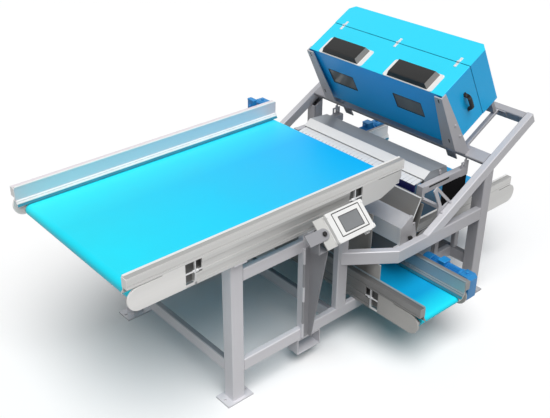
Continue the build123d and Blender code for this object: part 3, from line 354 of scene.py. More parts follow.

# A finish has its colour, how far its edges go to white for wear and a painted highlight, its darkest
# cloud, the clouds' scale, its smoothest and roughest gloss, its relief and the relief's depth, then what
# only some have
BELT = Finish("belt", 0.1, 0.9, 1.1, (0.34, 0.46), "weave_scale", 0.10, wear_and_sheen=0.2, specular=0.22)
RAIL = Finish("rail", 0.12, 0.9, 9, (0.36, 0.48), "brush_scale", 0.08, ALONG_X, ALONG_X, metallic=0.35)
# Darker copy of the rail aluminium for the reject conveyor: painted shade
CROSS_RAIL = RAIL._replace(colour="cross_rail", stretch=ALONG_Y, grain=ALONG_Y)
LID = Finish("lid", 0, 0.95, 6, (0.36, 0.46), "brush_scale", 0.06, ALONG_Y, ALONG_Y, metallic=0.15)
PAINT = Finish("frame_tube", 0.35, 0.93, 3, (0.36, 0.48), "peel_scale", 0.10, wear_and_sheen=0.45, metallic=0.12)
WHITE = Finish("white", 0, 0.94, 9, (0.38, 0.5), 800, 0.10, specular=0.4)
FINISHES = {
    "infeed_belt_cover": BELT._replace(nodes=("infeed_belt",)),
    # The reject belt takes the darker copy of the belt colour: painted shade
    "reject_belt_cover": BELT._replace(colour="belt_reject_shaded", nodes=("reject_belt",)),
    # The takeaway belt takes the darker belt colour at right: painted shade
    "takeaway_belt_cover": BELT._replace(colour="belt_shaded_right", nodes=("takeaway_belt",)),
    "rail_aluminium_infeed": RAIL._replace(nodes=("infeed_side_rails",)),
    "rail_aluminium_plates": RAIL._replace(colour="end_plate", nodes=("infeed_end_plates",)),
    "rail_aluminium_takeaway": RAIL._replace(nodes=("takeaway_side_rails", "takeaway_end_plates")),
    "rail_aluminium_cross": CROSS_RAIL._replace(nodes=("reject_side_rails", "camera_bar")),
    "rail_aluminium_cross_plates": CROSS_RAIL._replace(
        colour="cross_plate", nodes=("reject_end_plates",)
    ),
    "lid_aluminium": LID._replace(nodes=("ejector_lid",)),
    "cap_aluminium": LID,
    "frame_paint": PAINT._replace(nodes=FRAME_TUBES),
    "cross_rail_paint": PAINT._replace(nodes=("cross_rails",)),
    "beam_paint": PAINT._replace(nodes=("inclined_beams",)),
    "trim_moulding": WHITE,
    "white_moulding": WHITE,
    "panel_lacquer": WHITE._replace(darker=0.95, nodes=("panel_case",)),
    # Dark lips, partly a painted shadow where the strips meet the belt
    "lip_rubber_and_shadow": Finish("lip", 0, 0.8, 9, (0.5, 0.65), 600, 0.1),
    "skirt_rubber": Finish("skirt", 0.02, 0.7, 7, (0.6, 0.75), 600, 0.25, specular=0.03),
    "window_liner": Finish("liner", 0, 0.7, 14, (0.5, 0.65), "brush_scale", 0.06),
    "filter_mat": Finish("moulding", 0.06, 0.6, 60, (0.85, 0.95), 450, 0.8),
    "motor_paint": Finish("motor", 0.25, 0.8, 8, (0.38, 0.5), 520, 0.3, wear_and_sheen=0.5),
    "black_moulding": Finish(
        "moulding", 0.10, 0.75, 12, (0.45, 0.6), 900, 0.3, specular=0.25, nodes=IMPELLERS
    ),
    "filter_box": Finish(
        "moulding", 0.2, 0.7, 14, (0.4, 0.55), 700, 0.25, specular=0.3, nodes=("fan_louvres",)
    ),
    "smoked_window": Finish(
        "window", 0, 0.7, 4, (0.08, 0.14), 40, 0.02, specular=0.4, nodes=("hood_windows",)
    ),
    "screen_glass": Finish(
        "screen", 0, 0.8, 5, (0.10, 0.16), 40, 0.02, specular=0.4, nodes=("panel_screen",)
    ),
    "finger_moulding": Finish(
        "finger_top", 0, 0.92, 20, (0.36, 0.48), 700, 0.2, radius=0.001, nodes=FINGER_BANKS
    ),
    "zinc_plate": Finish("zinc", 0.4, 0.82, 24, (0.3, 0.45), 300, 0.08, metallic=0.6, nodes=ZINC_PIECES),
    # Darker copy of the frame's paint for the panel arm: painted shade
    "arm_paint_shaded": Finish(
        "panel_arm", 0.4, 0.92, 4, (0.4, 0.52), "peel_scale", 0.10, wear_and_sheen=0.4, nodes=("panel_arm",)
    ),
    "hood_lacquer": Finish(
        *("hood", 0.18, 0.95, 1.5, (0.34, 0.42), "peel_scale", 0.05),
        wear_and_sheen=0.4,
        specular=0.30,
        nodes=("hood_front_shell", "hood_rear_cover"),
    ),
    "bright_zinc": Finish(
        *("bright_zinc", 0.556, 0.9, 40, (0.28, 0.42), "brush_scale", 0.06),
        radius=0.0006,
        metallic=0.25,
        nodes=BRIGHT_PIECES,
    ),
    "stainless_sheet": Finish(
        *("housing", 0.5, 0.88, 10, (0.28, 0.4), "brush_scale", 0.08, ALONG_Y, ALONG_Y),
        metallic=0.6,
        nodes=("ejector_housing",),
    ),
    "divider_beam_sheet": Finish(
        *("divider_beam", 0.5, 0.9, 8, (0.4, 0.52), "brush_scale", 0.06, EVEN, ALONG_Y),
        metallic=0.1,
        nodes=("divider_beam",),
    ),
    "chute_sheet": Finish(
        *("chute", 0.3, 0.85, 6, (0.4, 0.55), "brush_scale", 0.08, (1, 0.05, 1), ALONG_Y),
        metallic=0.3,
        nodes=("chute_walls",),
    ),
    "divider_sheet": Finish(
        *("divider", 0.75, 0.8, 5, (0.34, 0.48), "brush_scale", 0.12, (1, 0.3, 1), (1, 0.03, 1)),
        wear_and_sheen=0.9,
        metallic=0.4,
        nodes=("divider_plate",),
    ),
}


# Places on the machine


def machine_origin():
    """Point on the floor between the front legs, from which the machine's own sizes are counted."""
    low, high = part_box("front_legs")
    return np.array([(low.x + high.x) / 2, (low.y + high.y) / 2, 0])


ORIGIN = machine_origin()


class Spot(NamedTuple):
    """Place on the machine in its own millimetres, with the directions of width, depth and height."""

    place: tuple
    width: tuple
    depth: tuple
    height: tuple

    def points(self, *distances):
        """Points of the frame: the place, plus each distance times its direction."""
        steps = np.array(self.place)
        directions = (self.width, self.depth, self.height)
        for distance, direction in zip(np.broadcast_arrays(*distances), directions):
            steps = steps + distance[..., None] * np.array(direction)
        return ORIGIN + MM * steps


def spot(place, height, width):
    """Spot whose depth stands square to its height and width."""
    return Spot(place, width, np.cross(height, width), height)


def facing(direction, way):
    """Direction as it is for a way of 1, and turned about for -1."""
    return tuple(way * c for c in direction)


def slope_place(u, y, n):
    """Point u along the slope, y across and n off it: x = u cos a - n sin a, z = u sin a + n cos a."""
    x = u * math.cos(SLOPE) - n * math.sin(SLOPE)
    z = u * math.sin(SLOPE) + n * math.cos(SLOPE)
    return (x, y, z)


def slope_spot(u, y, n):
    """Spot that stands off the slope, its width uphill."""
    return spot(slope_place(u, y, n), OFF_SLOPE, UPHILL)


def side_spot(side, u, n, out=HOOD_HALF):
    """Spot on one side of the hood that faces out from it, its width uphill."""
    return spot(slope_place(u, side * out, n), (0, side, 0), UPHILL)


def panel_spot(across, along, out):
    """Spot on the panel's tilted face, counted from its upper left corner, out along its normal."""
    x, y, z = PANEL_CORNER
    tilt_cos = math.cos(PANEL_TILT)
    tilt_sin = math.sin(PANEL_TILT)
    place = (x + across, y + along * tilt_cos - out * tilt_sin, z + along * tilt_sin + out * tilt_cos)
    return spot(place, PANEL_OUT, RIGHT)


class Conveyor(NamedTuple):
    """A conveyor's sizes from its tail roller: s along the run, t to its left, z from the rail's foot."""

    origin: tuple
    along: tuple
    width: float
    run: float
    tail: float
    head: float
    guide_tail: float
    guide_head: float
    plate: float
    window: float

    def left(self, side=1):
        """Direction to the left of the run, or to the right for a side of -1."""
        return (-side * self.along[1], side * self.along[0], 0)

    def place(self, s, t, z):
        """Point at s, t and z of this conveyor."""
        steps = s * np.array(self.along) + t * np.array(self.left()) + z * np.array(UP)
        return np.array(self.origin) + steps

    def brackets(self):
        """Outer face of the bracket in each tension window, with the way that it faces along the run."""
        if not self.window:
            return ()
        tail_window = self.plate - self.tail
        head_window = self.run + self.head - self.plate - self.window
        reach = self.window * BRACKET_SHARE
        return (
            (tail_window + reach + BRACKET_THICK, 1),
            (head_window + self.window - reach - BRACKET_THICK, -1),
        )


CONVEYORS = {
    "infeed": Conveyor((-638, 0, 1029), RIGHT, 1200, 1945, 92, 18, 87, 37, 358, 109),
    "reject": Conveyor((1249, 640, 294), NEAR, 400, 1742, 92, 46, 60, 53, 338, 110),
    "takeaway": Conveyor((1640, 0, 466), RIGHT, 1200, 960, 92, 95, 80, 35, 330, 0),
}


class Gearmotor(NamedTuple):
    """A motor's axis height and length, its gearbox's top, and its terminal box's start and size."""

    axis: float
    length: float
    case_top: float
    box_start: float
    box_length: float
    box_height: float


GEARMOTORS = {
    "infeed": Gearmotor(107, 395, 211, 25, 40, 90),
    "reject": Gearmotor(154, 317, 218, 127, 60, 26),
    "takeaway": Gearmotor(168, 300, 232, 20, 70, 44),
}


def tension_brackets():
    """Each tension bracket's conveyor, side, outer face along the run and the way that it faces."""
    return [
        (run, side, face, way)
        for run in CONVEYORS.values()
        for face, way in run.brackets()
        for side in SIDES
    ]


# Outlines and surfaces


def circle(turn, reach):
    """Points at a reach from the middle, one for each turn."""
    return np.reshape(reach, (-1, 1)) * np.stack((np.cos(turn), np.sin(turn)), axis=-1)


def rounded(width, depth, radius, inset=0.0):
    """Rectangle with round corners: a quarter circle about each corner's centre, less the inset."""
    turns = np.linspace(0, math.pi / 2, CORNER_POINTS) + math.pi / 2 * np.arange(4)[:, None]
    signs = np.array([(1, 1), (-1, 1), (-1, -1), (1, -1)])[:, None, :]
    centres = signs * (width / 2 - radius, depth / 2 - radius)
    arcs = np.stack((np.cos(turns), np.sin(turns)), axis=-1)
    return (centres + max(radius - inset, 0.1) * arcs).reshape(-1, 2)


def round_outline(radius, inset=0.0, sides=ROUND_SIDES):
    """Circle, or a regular figure of a few sides, drawn in by the inset."""
    turn = np.linspace(0, 2 * math.pi, sides, endpoint=False)
    return circle(turn, radius - inset)


def lobed(radius, lobes, swell, inset=0.0, points=96):
    """Star outline: its radius is r (1 + swell cos(lobes x turn)), less the inset."""
    turn = np.linspace(0, 2 * math.pi, points, endpoint=False)
    return circle(turn, radius * (1 + swell * np.cos(lobes * turn)) - inset)


def finned(radius, fins, depth, inset=0.0):
    """Outline of a finned barrel: its radius falls by the depth between narrow fins, even all round."""
    turn = np.linspace(0, 2 * math.pi, 8 * fins, endpoint=False)
    valley = np.clip(1.6 * np.abs(np.sin(fins * turn / 2)) - 0.3, 0, 1)
    return circle(turn, radius - inset - depth * valley)


def polygon(corners, inset=0.0):
    """Straight-sided outline, each corner drawn in along the line that halves it."""
    corners = np.array(corners, float)
    edges = np.roll(corners, -1, axis=0) - corners
    edges /= np.linalg.norm(edges, axis=1, keepdims=True)
    inward = np.stack((-edges[:, 1], edges[:, 0]), axis=-1)
    before = np.roll(inward, 1, axis=0)
    turn = 1 + np.sum(inward * before, axis=1, keepdims=True)
    return corners + inset * (inward + before) / turn


def as_drawn(outline, inset):
    """Outline that is kept as it is, whatever the inset."""
    return outline


def stacked(base, levels, outline, *sizes, **options):
    """Outline carried along a spot's height: each level is a height and an inset of the outline."""
    outlines = np.array([outline(*sizes, inset=inset, **options) for height, inset in levels])
    heights = np.array([height for height, inset in levels])[:, None]
    return base.points(outlines[..., 0], outlines[..., 1], heights)


def along_guides(out, height, ends, outline, *sizes):
    """Outline carried along every guide, out from the belt's edge, with the same levels at both ends."""
    bars = []
    for run in CONVEYORS.values():
        length = run.guide_tail + run.run + run.guide_head
        levels = [*ends, *((length - rise, inset) for rise, inset in reversed(ends))]
        for side in SIDES:
            place = run.place(-run.guide_tail, side * (run.width / 2 + out), height)
            bars.append(stacked(Spot(place, run.left(side), UP, run.along), levels, outline, *sizes))
    return bars


def faces_of(grid, first, ring):
    """Faces of a grid of closed outlines: squares between rows, and a cap on each end but a ring's."""
    rows, columns = grid.shape[:2]
    index = first + np.arange(rows * columns).reshape(rows, columns)
    lines = np.vstack((index, index[:1])) if ring else index
    lines = np.hstack((lines, lines[:, :1]))
    squares = np.stack((lines[:-1, :-1], lines[:-1, 1:], lines[1:, 1:], lines[1:, :-1]), axis=-1)
    caps = [] if ring else [index[0, ::-1].tolist(), index[-1].tolist()]
    return squares.reshape(-1, 4).tolist() + caps


def make_piece(name, look, slot, solids=(), rings=(), body="frame", replaced=()):
    """One object of closed grids in a finish, faces outwards, that rides on a body; its slot is not used.
    """
    grids = [(grid, False) for grid in solids] + [(grid, True) for grid in rings]
    faces = []
    count = 0
    for grid, ring in grids:
        faces += faces_of(grid, count, ring)
        count += grid.shape[0] * grid.shape[1]
    mesh = bpy.data.meshes.new(name)
    mesh.from_pydata(np.vstack([grid.reshape(-1, 3) for grid, ring in grids]).tolist(), [], faces)
    shape = bmesh.new()
    shape.from_mesh(mesh)
    bmesh.ops.recalc_face_normals(shape, faces=shape.faces)
    shape.to_mesh(mesh)
    shape.free()
    mesh.shade_smooth()
    mesh.set_sharp_from_angle(angle=CREASE)
    mesh.materials.append(finish(look))
    piece = bpy.data.objects.new(name, mesh)
    bpy.context.scene.collection.objects.link(piece)
    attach(piece, body)
    if replaced:
        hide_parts(*replaced)


def bolt(base, size):
    """Hexagon head on a washer: two stacked outlines, the head's upper edge drawn in."""
    top = 2 + 0.64 * size
    head_levels = ((1.8, 0), (top - 0.1 * size, 0), (top, 0.14 * size))
    return [
        stacked(base, ((-0.3, 0), (1.6, 0), (2, 0.4)), round_outline, 1.05 * size, sides=20),
        stacked(base, head_levels, round_outline, 0.92 * size, sides=6),
    ]


def pan_screw(base, radius):
    """Low round screw head: a circle that draws in as a quarter of an ellipse towards its top."""
    rise = np.linspace(0, math.pi / 2, 5)[:-1]
    levels = [(-0.2, 0)]
    levels += [(0.55 * radius * math.sin(a), radius * (1 - math.cos(a))) for a in rise]
    return stacked(base, levels, round_outline, radius, sides=16)


# Nodes, the groups that every finish shares, and the finishes' materials


def add_node(tree, kind, inputs=None, **settings):
    """Node with its settings, each of its inputs given a value or linked from another node's output."""
    node = tree.nodes.new("ShaderNode" + kind)
    for title, value in settings.items():
        setattr(node, title, value)
    for title, value in (inputs or {}).items():
        if isinstance(value, bpy.types.NodeSocket):
            tree.links.new(value, node.inputs[title])
        else:
            node.inputs[title].default_value = value
    return node


def open_group(name, inputs, outputs):
    """Empty shader group with inputs as (name, kind, default) and outputs as (name, kind)."""
    group = bpy.data.node_groups.new(name, "ShaderNodeTree")
    for title, kind, default in inputs:
        socket = group.interface.new_socket(name=title, in_out="INPUT", socket_type="NodeSocket" + kind)
        socket.default_value = default
    for title, kind in outputs:
        group.interface.new_socket(name=title, in_out="OUTPUT", socket_type="NodeSocket" + kind)
    start = group.nodes.new("NodeGroupInput")
    end = group.nodes.new("NodeGroupOutput")
    return group, start.outputs, end.inputs


def stretched_noise(group, start, detail):
    """Noise on the piece's own coordinates, with the group's stretch and scale."""
    coordinate = add_node(group, "TexCoord")
    stretch = {"Vector": coordinate.outputs["Object"], "Scale": start["Stretch"]}
    mapping = add_node(group, "Mapping", stretch)
    scale = {"Vector": mapping.outputs["Vector"], "Scale": start["Scale"], "Detail": detail}
    return add_node(group, "TexNoise", scale).outputs["Fac"]


@cache
def cloud_group():
    """Soft clouds over a colour: it is mixed with a darker one by noise that can be stretched."""
    group, start, end = open_group(
        "Cloud",
        (
            ("Color", "Color", (0.5, 0.5, 0.5, 1)),
            ("Darker", "Float", 0.9),
            ("Scale", "Float", 3),
            ("Stretch", "Vector", EVEN),
            ("Smoothest", "Float", 0.3),
            ("Roughest", "Float", 0.5),
        ),
        (("Color", "Color"), ("Roughness", "Float")),
    )
    noise = stretched_noise(group, start, 5)
    darkest, palest = CLOUD_NOISE
    spread = add_node(group, "MapRange", {"Value": noise, "From Min": darkest, "From Max": palest})
    cloud = spread.outputs["Result"]
    shade = add_node(group, "MapRange", {"Value": cloud, "To Min": start["Darker"], "To Max": 1})
    shaded = {"Factor": 1, "A": start["Color"], "B": shade.outputs["Result"]}
    colour = add_node(group, "Mix", shaded, data_type="RGBA", blend_type="MULTIPLY")
    range_of_gloss = {"Value": cloud, "To Min": start["Smoothest"], "To Max": start["Roughest"]}
    gloss = add_node(group, "MapRange", range_of_gloss)
    group.links.new(colour.outputs["Result"], end["Color"])
    group.links.new(gloss.outputs["Result"], end["Roughness"])
    return group


@cache
def relief_group():
    """Fine relief: the height is noise of a given scale that can be stretched into brush marks."""
    inputs = (("Scale", "Float", 200), ("Stretch", "Vector", EVEN))
    group, start, end = open_group("Relief", inputs, (("Height", "Float"),))
    group.links.new(stretched_noise(group, start, 3), end["Height"])
    return group


@cache
def edge_group():
    """Eased edges: a bevelled normal, and a mask from how far it leans from the flat one, which pales the
    edges for wear and a painted highlight.
    """
    inputs = (("Radius", "Float", 0.002), ("Wear", "Float", 0.5))
    group, start, end = open_group("Edge", inputs, (("Normal", "Vector"), ("Mask", "Float")))
    bevel = add_node(group, "Bevel", {"Radius": start["Radius"]}, samples=6)
    eased = bevel.outputs["Normal"]
    flat = add_node(group, "NewGeometry").outputs["Normal"]
    lean = add_node(group, "VectorMath", {0: eased, 1: flat}, operation="DOT_PRODUCT").outputs["Value"]
    slight, full = RUB_AND_SHEEN_LEAN
    rub_and_sheen = {"Value": lean, "From Min": slight, "From Max": full, "To Max": start["Wear"]}
    rub_and_sheen_mask = add_node(group, "MapRange", rub_and_sheen)
    group.links.new(eased, end["Normal"])
    group.links.new(rub_and_sheen_mask.outputs["Result"], end["Mask"])
    return group


def place_group(tree, group, **values):
    """Outputs of a shared group placed in a material with its own values."""
    return add_node(tree, "Group", values, node_tree=group).outputs


def open_material(name, constants):
    """Material with one Principled shader, whose constants are set on its own sockets."""
    material = bpy.data.materials.new(name)
    material.use_nodes = True
    shader = material.node_tree.nodes["Principled BSDF"]
    for title, value in constants.items():
        shader.inputs[title].default_value = value
    return material, shader.inputs


def paler(colour, share):
    """Colour moved a share of the way to white."""
    return tuple(c + (1 - c) * share for c in colour)


@cache
def finish(name):
    """Finish on its CAD nodes, made on first use: clouds, paler edges for wear and a painted highlight,
    and relief on an eased normal.
    """
    look = FINISHES[name]
    settings = bpy.context.scene.sorter_finish
    colour = getattr(bpy.context.scene.sorter_colours, look.colour)
    relief = getattr(settings, look.relief) if isinstance(look.relief, str) else look.relief
    constants = {"Metallic": look.metallic, "Specular IOR Level": look.specular}
    material, shader = open_material(name, constants)
    tree = material.node_tree
    clouds = place_group(
        tree,
        cloud_group(),
        Color=(*colour, 1),
        Darker=look.darker,
        Scale=look.cloud,
        Stretch=look.stretch,
        Smoothest=look.gloss[0],
        Roughest=look.gloss[1],
    )
    marks = place_group(tree, relief_group(), Scale=relief, Stretch=look.grain)
    edges = place_group(
        tree, edge_group(), Radius=look.radius or settings.edge_round, Wear=look.wear_and_sheen
    )
    # Paler edges: partly wear, partly a painted highlight along every eased edge
    edge_rub_and_sheen = (*paler(colour, look.rub_and_sheen), 1)
    worn_and_sheen = {"Factor": edges["Mask"], "A": clouds["Color"], "B": edge_rub_and_sheen}
    rub_and_sheen = add_node(tree, "Mix", worn_and_sheen, data_type="RGBA")
    bumps = {"Height": marks["Height"], "Normal": edges["Normal"]}
    bump = add_node(tree, "Bump", {"Strength": look.depth, "Distance": RELIEF_DEPTH, **bumps})
    tree.links.new(rub_and_sheen.outputs["Result"], shader["Base Color"])
    tree.links.new(clouds["Roughness"], shader["Roughness"])
    tree.links.new(bump.outputs["Normal"], shader["Normal"])
    for node in (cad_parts[title] for title in look.nodes):
        if not node.material_slots:
            node.data.materials.append(material)
        for slot in node.material_slots:
            slot.material = material
    return material


def tint(look, colour, source, axis, start, end, blend="MIX", most=1):
    """Another colour from start to end of an axis, of a piece's normals or the machine's millimetres."""
    if source == "Object":
        start, end = (ORIGIN["XYZ".index(axis)] + MM * place for place in (start, end))
    tree = finish(look).node_tree
    base = tree.nodes["Principled BSDF"].inputs["Base Color"]
    coordinate = add_node(tree, "TexCoord").outputs[source]
    value = add_node(tree, "SeparateXYZ", {"Vector": coordinate}).outputs[axis]
    reach = {"Value": value, "From Min": start, "From Max": end, "To Max": most}
    share = add_node(tree, "MapRange", reach).outputs["Result"]
    wanted = (*getattr(bpy.context.scene.sorter_colours, colour), 1)
    both = {"Factor": share, "A": base.links[0].from_socket, "B": wanted}
    mixed = add_node(tree, "Mix", both, data_type="RGBA", blend_type=blend)
    tree.links.new(mixed.outputs["Result"], base)


class SORTER_OT_belts(bpy.types.Operator):
    """Smooth blue belts with a fine woven grain"""

    bl_idname = "sorter.belts"
    bl_label = "Belts"

    def execute(self, context):
        # Painted shade: the infeed belt darkens from its tail towards its head
        tint("infeed_belt_cover", "belt_shaded_right", "Object", "X", -600, 1300)
        # Painted highlight along the far guide, at a little over half strength
        tint("infeed_belt_cover", "belt_far_highlight", "Object", "Y", 200, 520, most=0.55)
        # Painted light: the reject belt's near end, out of the shade, and its curved roll end take the
        # bright belt colour, a painted highlight on the roll
        tint("reject_belt_cover", "belt", "Object", "Y", -930, -1100)
        tint("reject_belt_cover", "belt", "Normal", "Z", 0.995, 0.90)
        # Painted shade: the takeaway belt darkens under the hood
        tint("takeaway_belt_cover", "belt_shade", "Object", "X", 2450, 2120, "MULTIPLY")
        return {"FINISHED"}


class SORTER_OT_rails(bpy.types.Operator):
    """Satin aluminium side rails and end plates, brushed along each run, and caps on the guides' ends"""

    bl_idname = "sorter.rails"
    bl_label = "Side rails"

    def execute(self, context):
        seam = CONVEYORS["infeed"].origin[2] + RAIL_SEAM
        # Painted shade: the infeed's end plates darken along x towards the head
        tint("rail_aluminium_plates", "plate_shaded_right", "Object", "X", 0, 1300)
        # Painted shade: the infeed rails' feet darken towards the head; above the seam the plain rail
        # colour comes back
        tint("rail_aluminium_infeed", "foot_shade", "Object", "X", -100, 500, "MULTIPLY")
        tint("rail_aluminium_infeed", "rail", "Object", "Z", seam - 8, seam)
        # Painted shade: the takeaway rails darken deep under the hood
        tint("rail_aluminium_takeaway", "deep_shade", "Object", "X", 2250, 1950, "MULTIPLY")
        # Painted shade: the reject conveyor's rail on the infeed's side darkens
        tint("rail_aluminium_cross", "foot_shade", "Object", "X", 1200, 1100, "MULTIPLY")
        # Painted shade: faces of the rails that look up darken
        for title in ("infeed", "takeaway", "cross"):
            tint("rail_aluminium_" + title, "ledge_shade", "Normal", "Z", *FACING_UP, "MULTIPLY")
        # Painted light: the far rail takes its lit copy over the painted shade
        tint("rail_aluminium_infeed", "rail_far_lit", "Object", "Y", 500, 590)
        # Painted shade: caps low on the reject conveyor darken
        tint("cap_aluminium", "cap_shaded_low", "Object", "Z", *LOW_TRIM_SHADE)
        finish("rail_aluminium_cross_plates")
        sills = window_plates(t=RAIL_WIDTH - 2, thick=4, height=16, whole=False)
        # Grey liners close the windows; their dark grey is partly painted shade of the windows' hollow
        liners = window_plates(t=RAIL_WALL, thick=1, height=RAIL_SEAM - 2, whole=True)
        make_piece("guide_caps", "cap_aluminium", "rail_aluminium", guide_caps())
        make_piece("window_sills", "lid_aluminium", "rail_aluminium", sills)
        make_piece("window_liners", "window_liner", "black_plastic", liners)
        return {"FINISHED"}


def window_plates(t, thick, height, whole):
    """Plates in the tension windows, t out from the belt: rectangles, past its ends if whole."""
    plates = []
    for run, side, face, way in tension_brackets():
        low = face - way * (BRACKET_SHARE * run.window + BRACKET_THICK)
        high = face
        if whole:
            high = low + way * (run.window + LINER_LAP)
            low -= way * LINER_LAP
        place = run.place((low + high) / 2, side * (run.width / 2 + t - thick / 2), height / 2 + 1)
        base = Spot(place, run.along, UP, run.left(side))
        plates.append(stacked(base, ((0.2, 0), (thick, 0)), rounded, abs(high - low) - 1, height, 1))
    return plates


def guide_caps():
    """Caps on the guides' hollow ends: the guide's box outline, its outer edge drawn in."""
    right = RAIL_WIDTH - 1
    low = RAIL_SEAM + 1
    shoulder = RAIL_HEIGHT - 4
    top = RAIL_HEIGHT - 0.4
    corners = ((1, low), (right, low), (right, shoulder), (right - 3.5, top), (4.5, top), (1, shoulder))
    caps = []
    for run in CONVEYORS.values():
        for s, way in ((-run.guide_tail, -1), (run.run + run.guide_head, 1)):
            for side in SIDES:
                place = run.place(s, side * run.width / 2, 0)
                base = Spot(place, run.left(side), UP, facing(run.along, way))
                caps.append(stacked(base, ((-2, 0), (2, 0), (3, 1)), polygon, corners))
    return caps


class SORTER_OT_sealing_strips(bpy.types.Operator):
    """White sealing strips with dark lips, partly a painted shadow on the belt, along every guide, and
    white beads, partly a painted highlight, on the guides' edges
    """

    bl_idname = "sorter.sealing_strips"
    bl_label = "Sealing strips"

    def execute(self, context):
        rise = context.scene.sorter_fittings.strip_rise / MM
        # Painted shade: strips and beads low on the reject conveyor darken
        tint("trim_moulding", "trim_shaded_low", "Object", "Z", *LOW_TRIM_SHADE)
        make_piece("sealing_strips", "trim_moulding", "white_paint", sealing_strips(rise))
        # Partly painted shadow: dark lips where the strips meet the belt
        make_piece("sealing_lips", "lip_rubber_and_shadow", "black_plastic", sealing_lips())
        # Partly painted highlight: white beads on the guides' inner upper edges
        make_piece("guide_beads", "trim_moulding", "white_paint", guide_beads())
        return {"FINISHED"}


def sealing_strips(rise):
    """Strips along each guide: the height is the root of a sine's size, so that two beads meet."""
    down = np.linspace(0, STRIP_LENGTH, 25)
    height = 0.7 + rise * np.sqrt(np.abs(np.sin(2 * math.pi * down / STRIP_LENGTH)))
    down = np.concatenate((down, down[[-1, 0]]))
    height = np.concatenate((height, (-0.3, -0.3)))
    return along_lips(down, height)


def sealing_lips():
    """Dark lips below the strips, their colour partly a painted shadow on the belt: flat bars on the rest
    of the lip's slope.
    """
    down = np.array((STRIP_LENGTH - 1, LIP_LENGTH, LIP_LENGTH, STRIP_LENGTH - 1))
    return along_lips(down, np.array((0.5, 0.5, -0.3, -0.3)))


def along_lips(down, height):
    """Profile given as distances down the lip's slope and heights over it, carried along each guide."""
    fall, drop = LIP_SLOPE
    profile = np.stack((fall * down + drop * height, LIP_TOP + drop * down - fall * height), axis=-1)
    return along_guides(0, 0, ((1, 0),), as_drawn, profile)


def guide_beads():
    """White beads along the guides' inner upper edges, their white partly a painted highlight on that
    edge: bars with round upper corners.
    """
    return along_guides(5, RAIL_HEIGHT + 1, ((2, 1), (3, 0)), rounded, 14, 12, 5.5)


class SORTER_OT_frame_tubes(bpy.types.Operator):
    """Satin grey paint with a slight peel on the frame, its bolts, and the slots in the tapered posts"""

    bl_idname = "sorter.frame_tubes"
    bl_label = "Frame"

    def execute(self, context):
        size = context.scene.sorter_fittings.bolt_size / MM
        # Painted shade: the paint of the frame, the cross rails and the beams darkens along x towards the
        # sorting end
        tint("frame_paint", "frame_shaded_right", "Object", "X", *FRAME_SHADE_SPAN)
        tint("cross_rail_paint", "frame_shaded_right", "Object", "X", *FRAME_SHADE_SPAN)
        # Painted shade: the cross rails' tops darken under the conveyor
        tint("cross_rail_paint", "rail_top_shade", "Normal", "Z", *FACING_UP, "MULTIPLY")
        tint("beam_paint", "beam_shaded_right", "Object", "X", *FRAME_SHADE_SPAN)
        # Painted shade: the panel arm's darker paint
        finish("arm_paint_shaded")
        make_piece("frame_bolts", "frame_paint", "frame_paint", frame_bolts(size))
        make_piece("post_slots", "black_moulding", "black_plastic", post_slots())
        return {"FINISHED"}


def frame_bolts(size):
    """Bolts of the tapered posts, the beams' brackets and the ejector's ends: hexagons on washers."""
    posts = ((2270, 252), (2282, 135))
    ejector_ends = ((1806, 984), (1810, 966))
    ejector_half = 592
    bracket_us = (1892, 1796)
    bracket_y = -797
    bracket_n = -58
    spots = []
    for side in SIDES:
        spots += [side_spot(side, u, n, HOOD_HALF + 8) for u, n in posts]
        spots += [spot((x, side * ejector_half, z), (0, side, 0), RIGHT) for x, z in ejector_ends]
    spots += [slope_spot(u, bracket_y, bracket_n) for u in bracket_us]
    return [grid for base in spots for grid in bolt(base, size)]


def post_slots():
    """Slots in the tapered posts and the ejector's rails: narrow rounded outlines, hardly raised."""
    posts = ((2223.4, 512), (2206.6, 142))
    post_half = 601
    rail_x, rail_half, rail_z = 1748, 640, 934
    slots = []
    for side in SIDES:
        for u, n in posts:
            base = spot(slope_place(u, side * post_half, n), DOWNHILL, AWAY)
            slots.append(stacked(base, ((-2, 0), (0.5, 0)), rounded, 9, 42, 4.4))
        base = spot((rail_x, side * rail_half, rail_z), (0, side, 0), RIGHT)
        slots.append(stacked(base, ((-1, 0), (0.5, 0)), rounded, 214, 13, 6))
    return slots


class SORTER_OT_hood(bpy.types.Operator):
    """Blue lacquer on the hood, its flanges, filter boxes and mats, hinges, gaskets and handles"""

    bl_idname = "sorter.hood"
    bl_label = "Hood"

    def execute(self, context):
        # Painted light: faces that look up, and faces on the near side, take lit copies of the lacquer
        tint("hood_lacquer", "hood_top_lit", "Normal", "Z", 0.35, 0.6)
        tint("hood_lacquer", "hood_side_lit", "Normal", "Y", *facing(FACING_OUT, -1))
        # Painted reflection: the filter boxes' ends, facing either side, take a lighter grey
        for side in SIDES:
            tint("filter_box", "filter_end_reflection", "Normal", "Y", *facing(FACING_OUT, side))
        finish("smoked_window")
        plates = flange_plates()
        handles = [bow_handle(side) for side in SIDES] + handle_feet()
        make_piece("flange_plates", "white_moulding", "white_paint", plates, replaced=("fan_flanges",))
        make_piece("filter_mats", "filter_mat", "black_plastic", filter_mats())
        make_piece("window_gaskets", "black_moulding", "black_plastic", rings=window_gaskets())
        make_piece("bow_handles", "black_moulding", "black_plastic", handles, replaced=("hood_handles",))
        make_piece("flange_screws", "bright_zinc", "steel", flange_screws() + hinge_screws(-1))
        make_piece("cover_screws", "bright_zinc", "steel", hinge_screws(1), body="cover")
        return {"FINISHED"}


def flange_plates():
    """Flanges under the filter boxes: rectangles with round corners, their upper edge drawn in."""
    levels = ((0, 0), (FLANGE_THICK - 1, 0), (FLANGE_THICK, 1))
    return [stacked(slope_spot(FAN_U, y, HOOD_TOP), levels, rounded, *FLANGE_SIZE, 18) for y in FAN_YS]


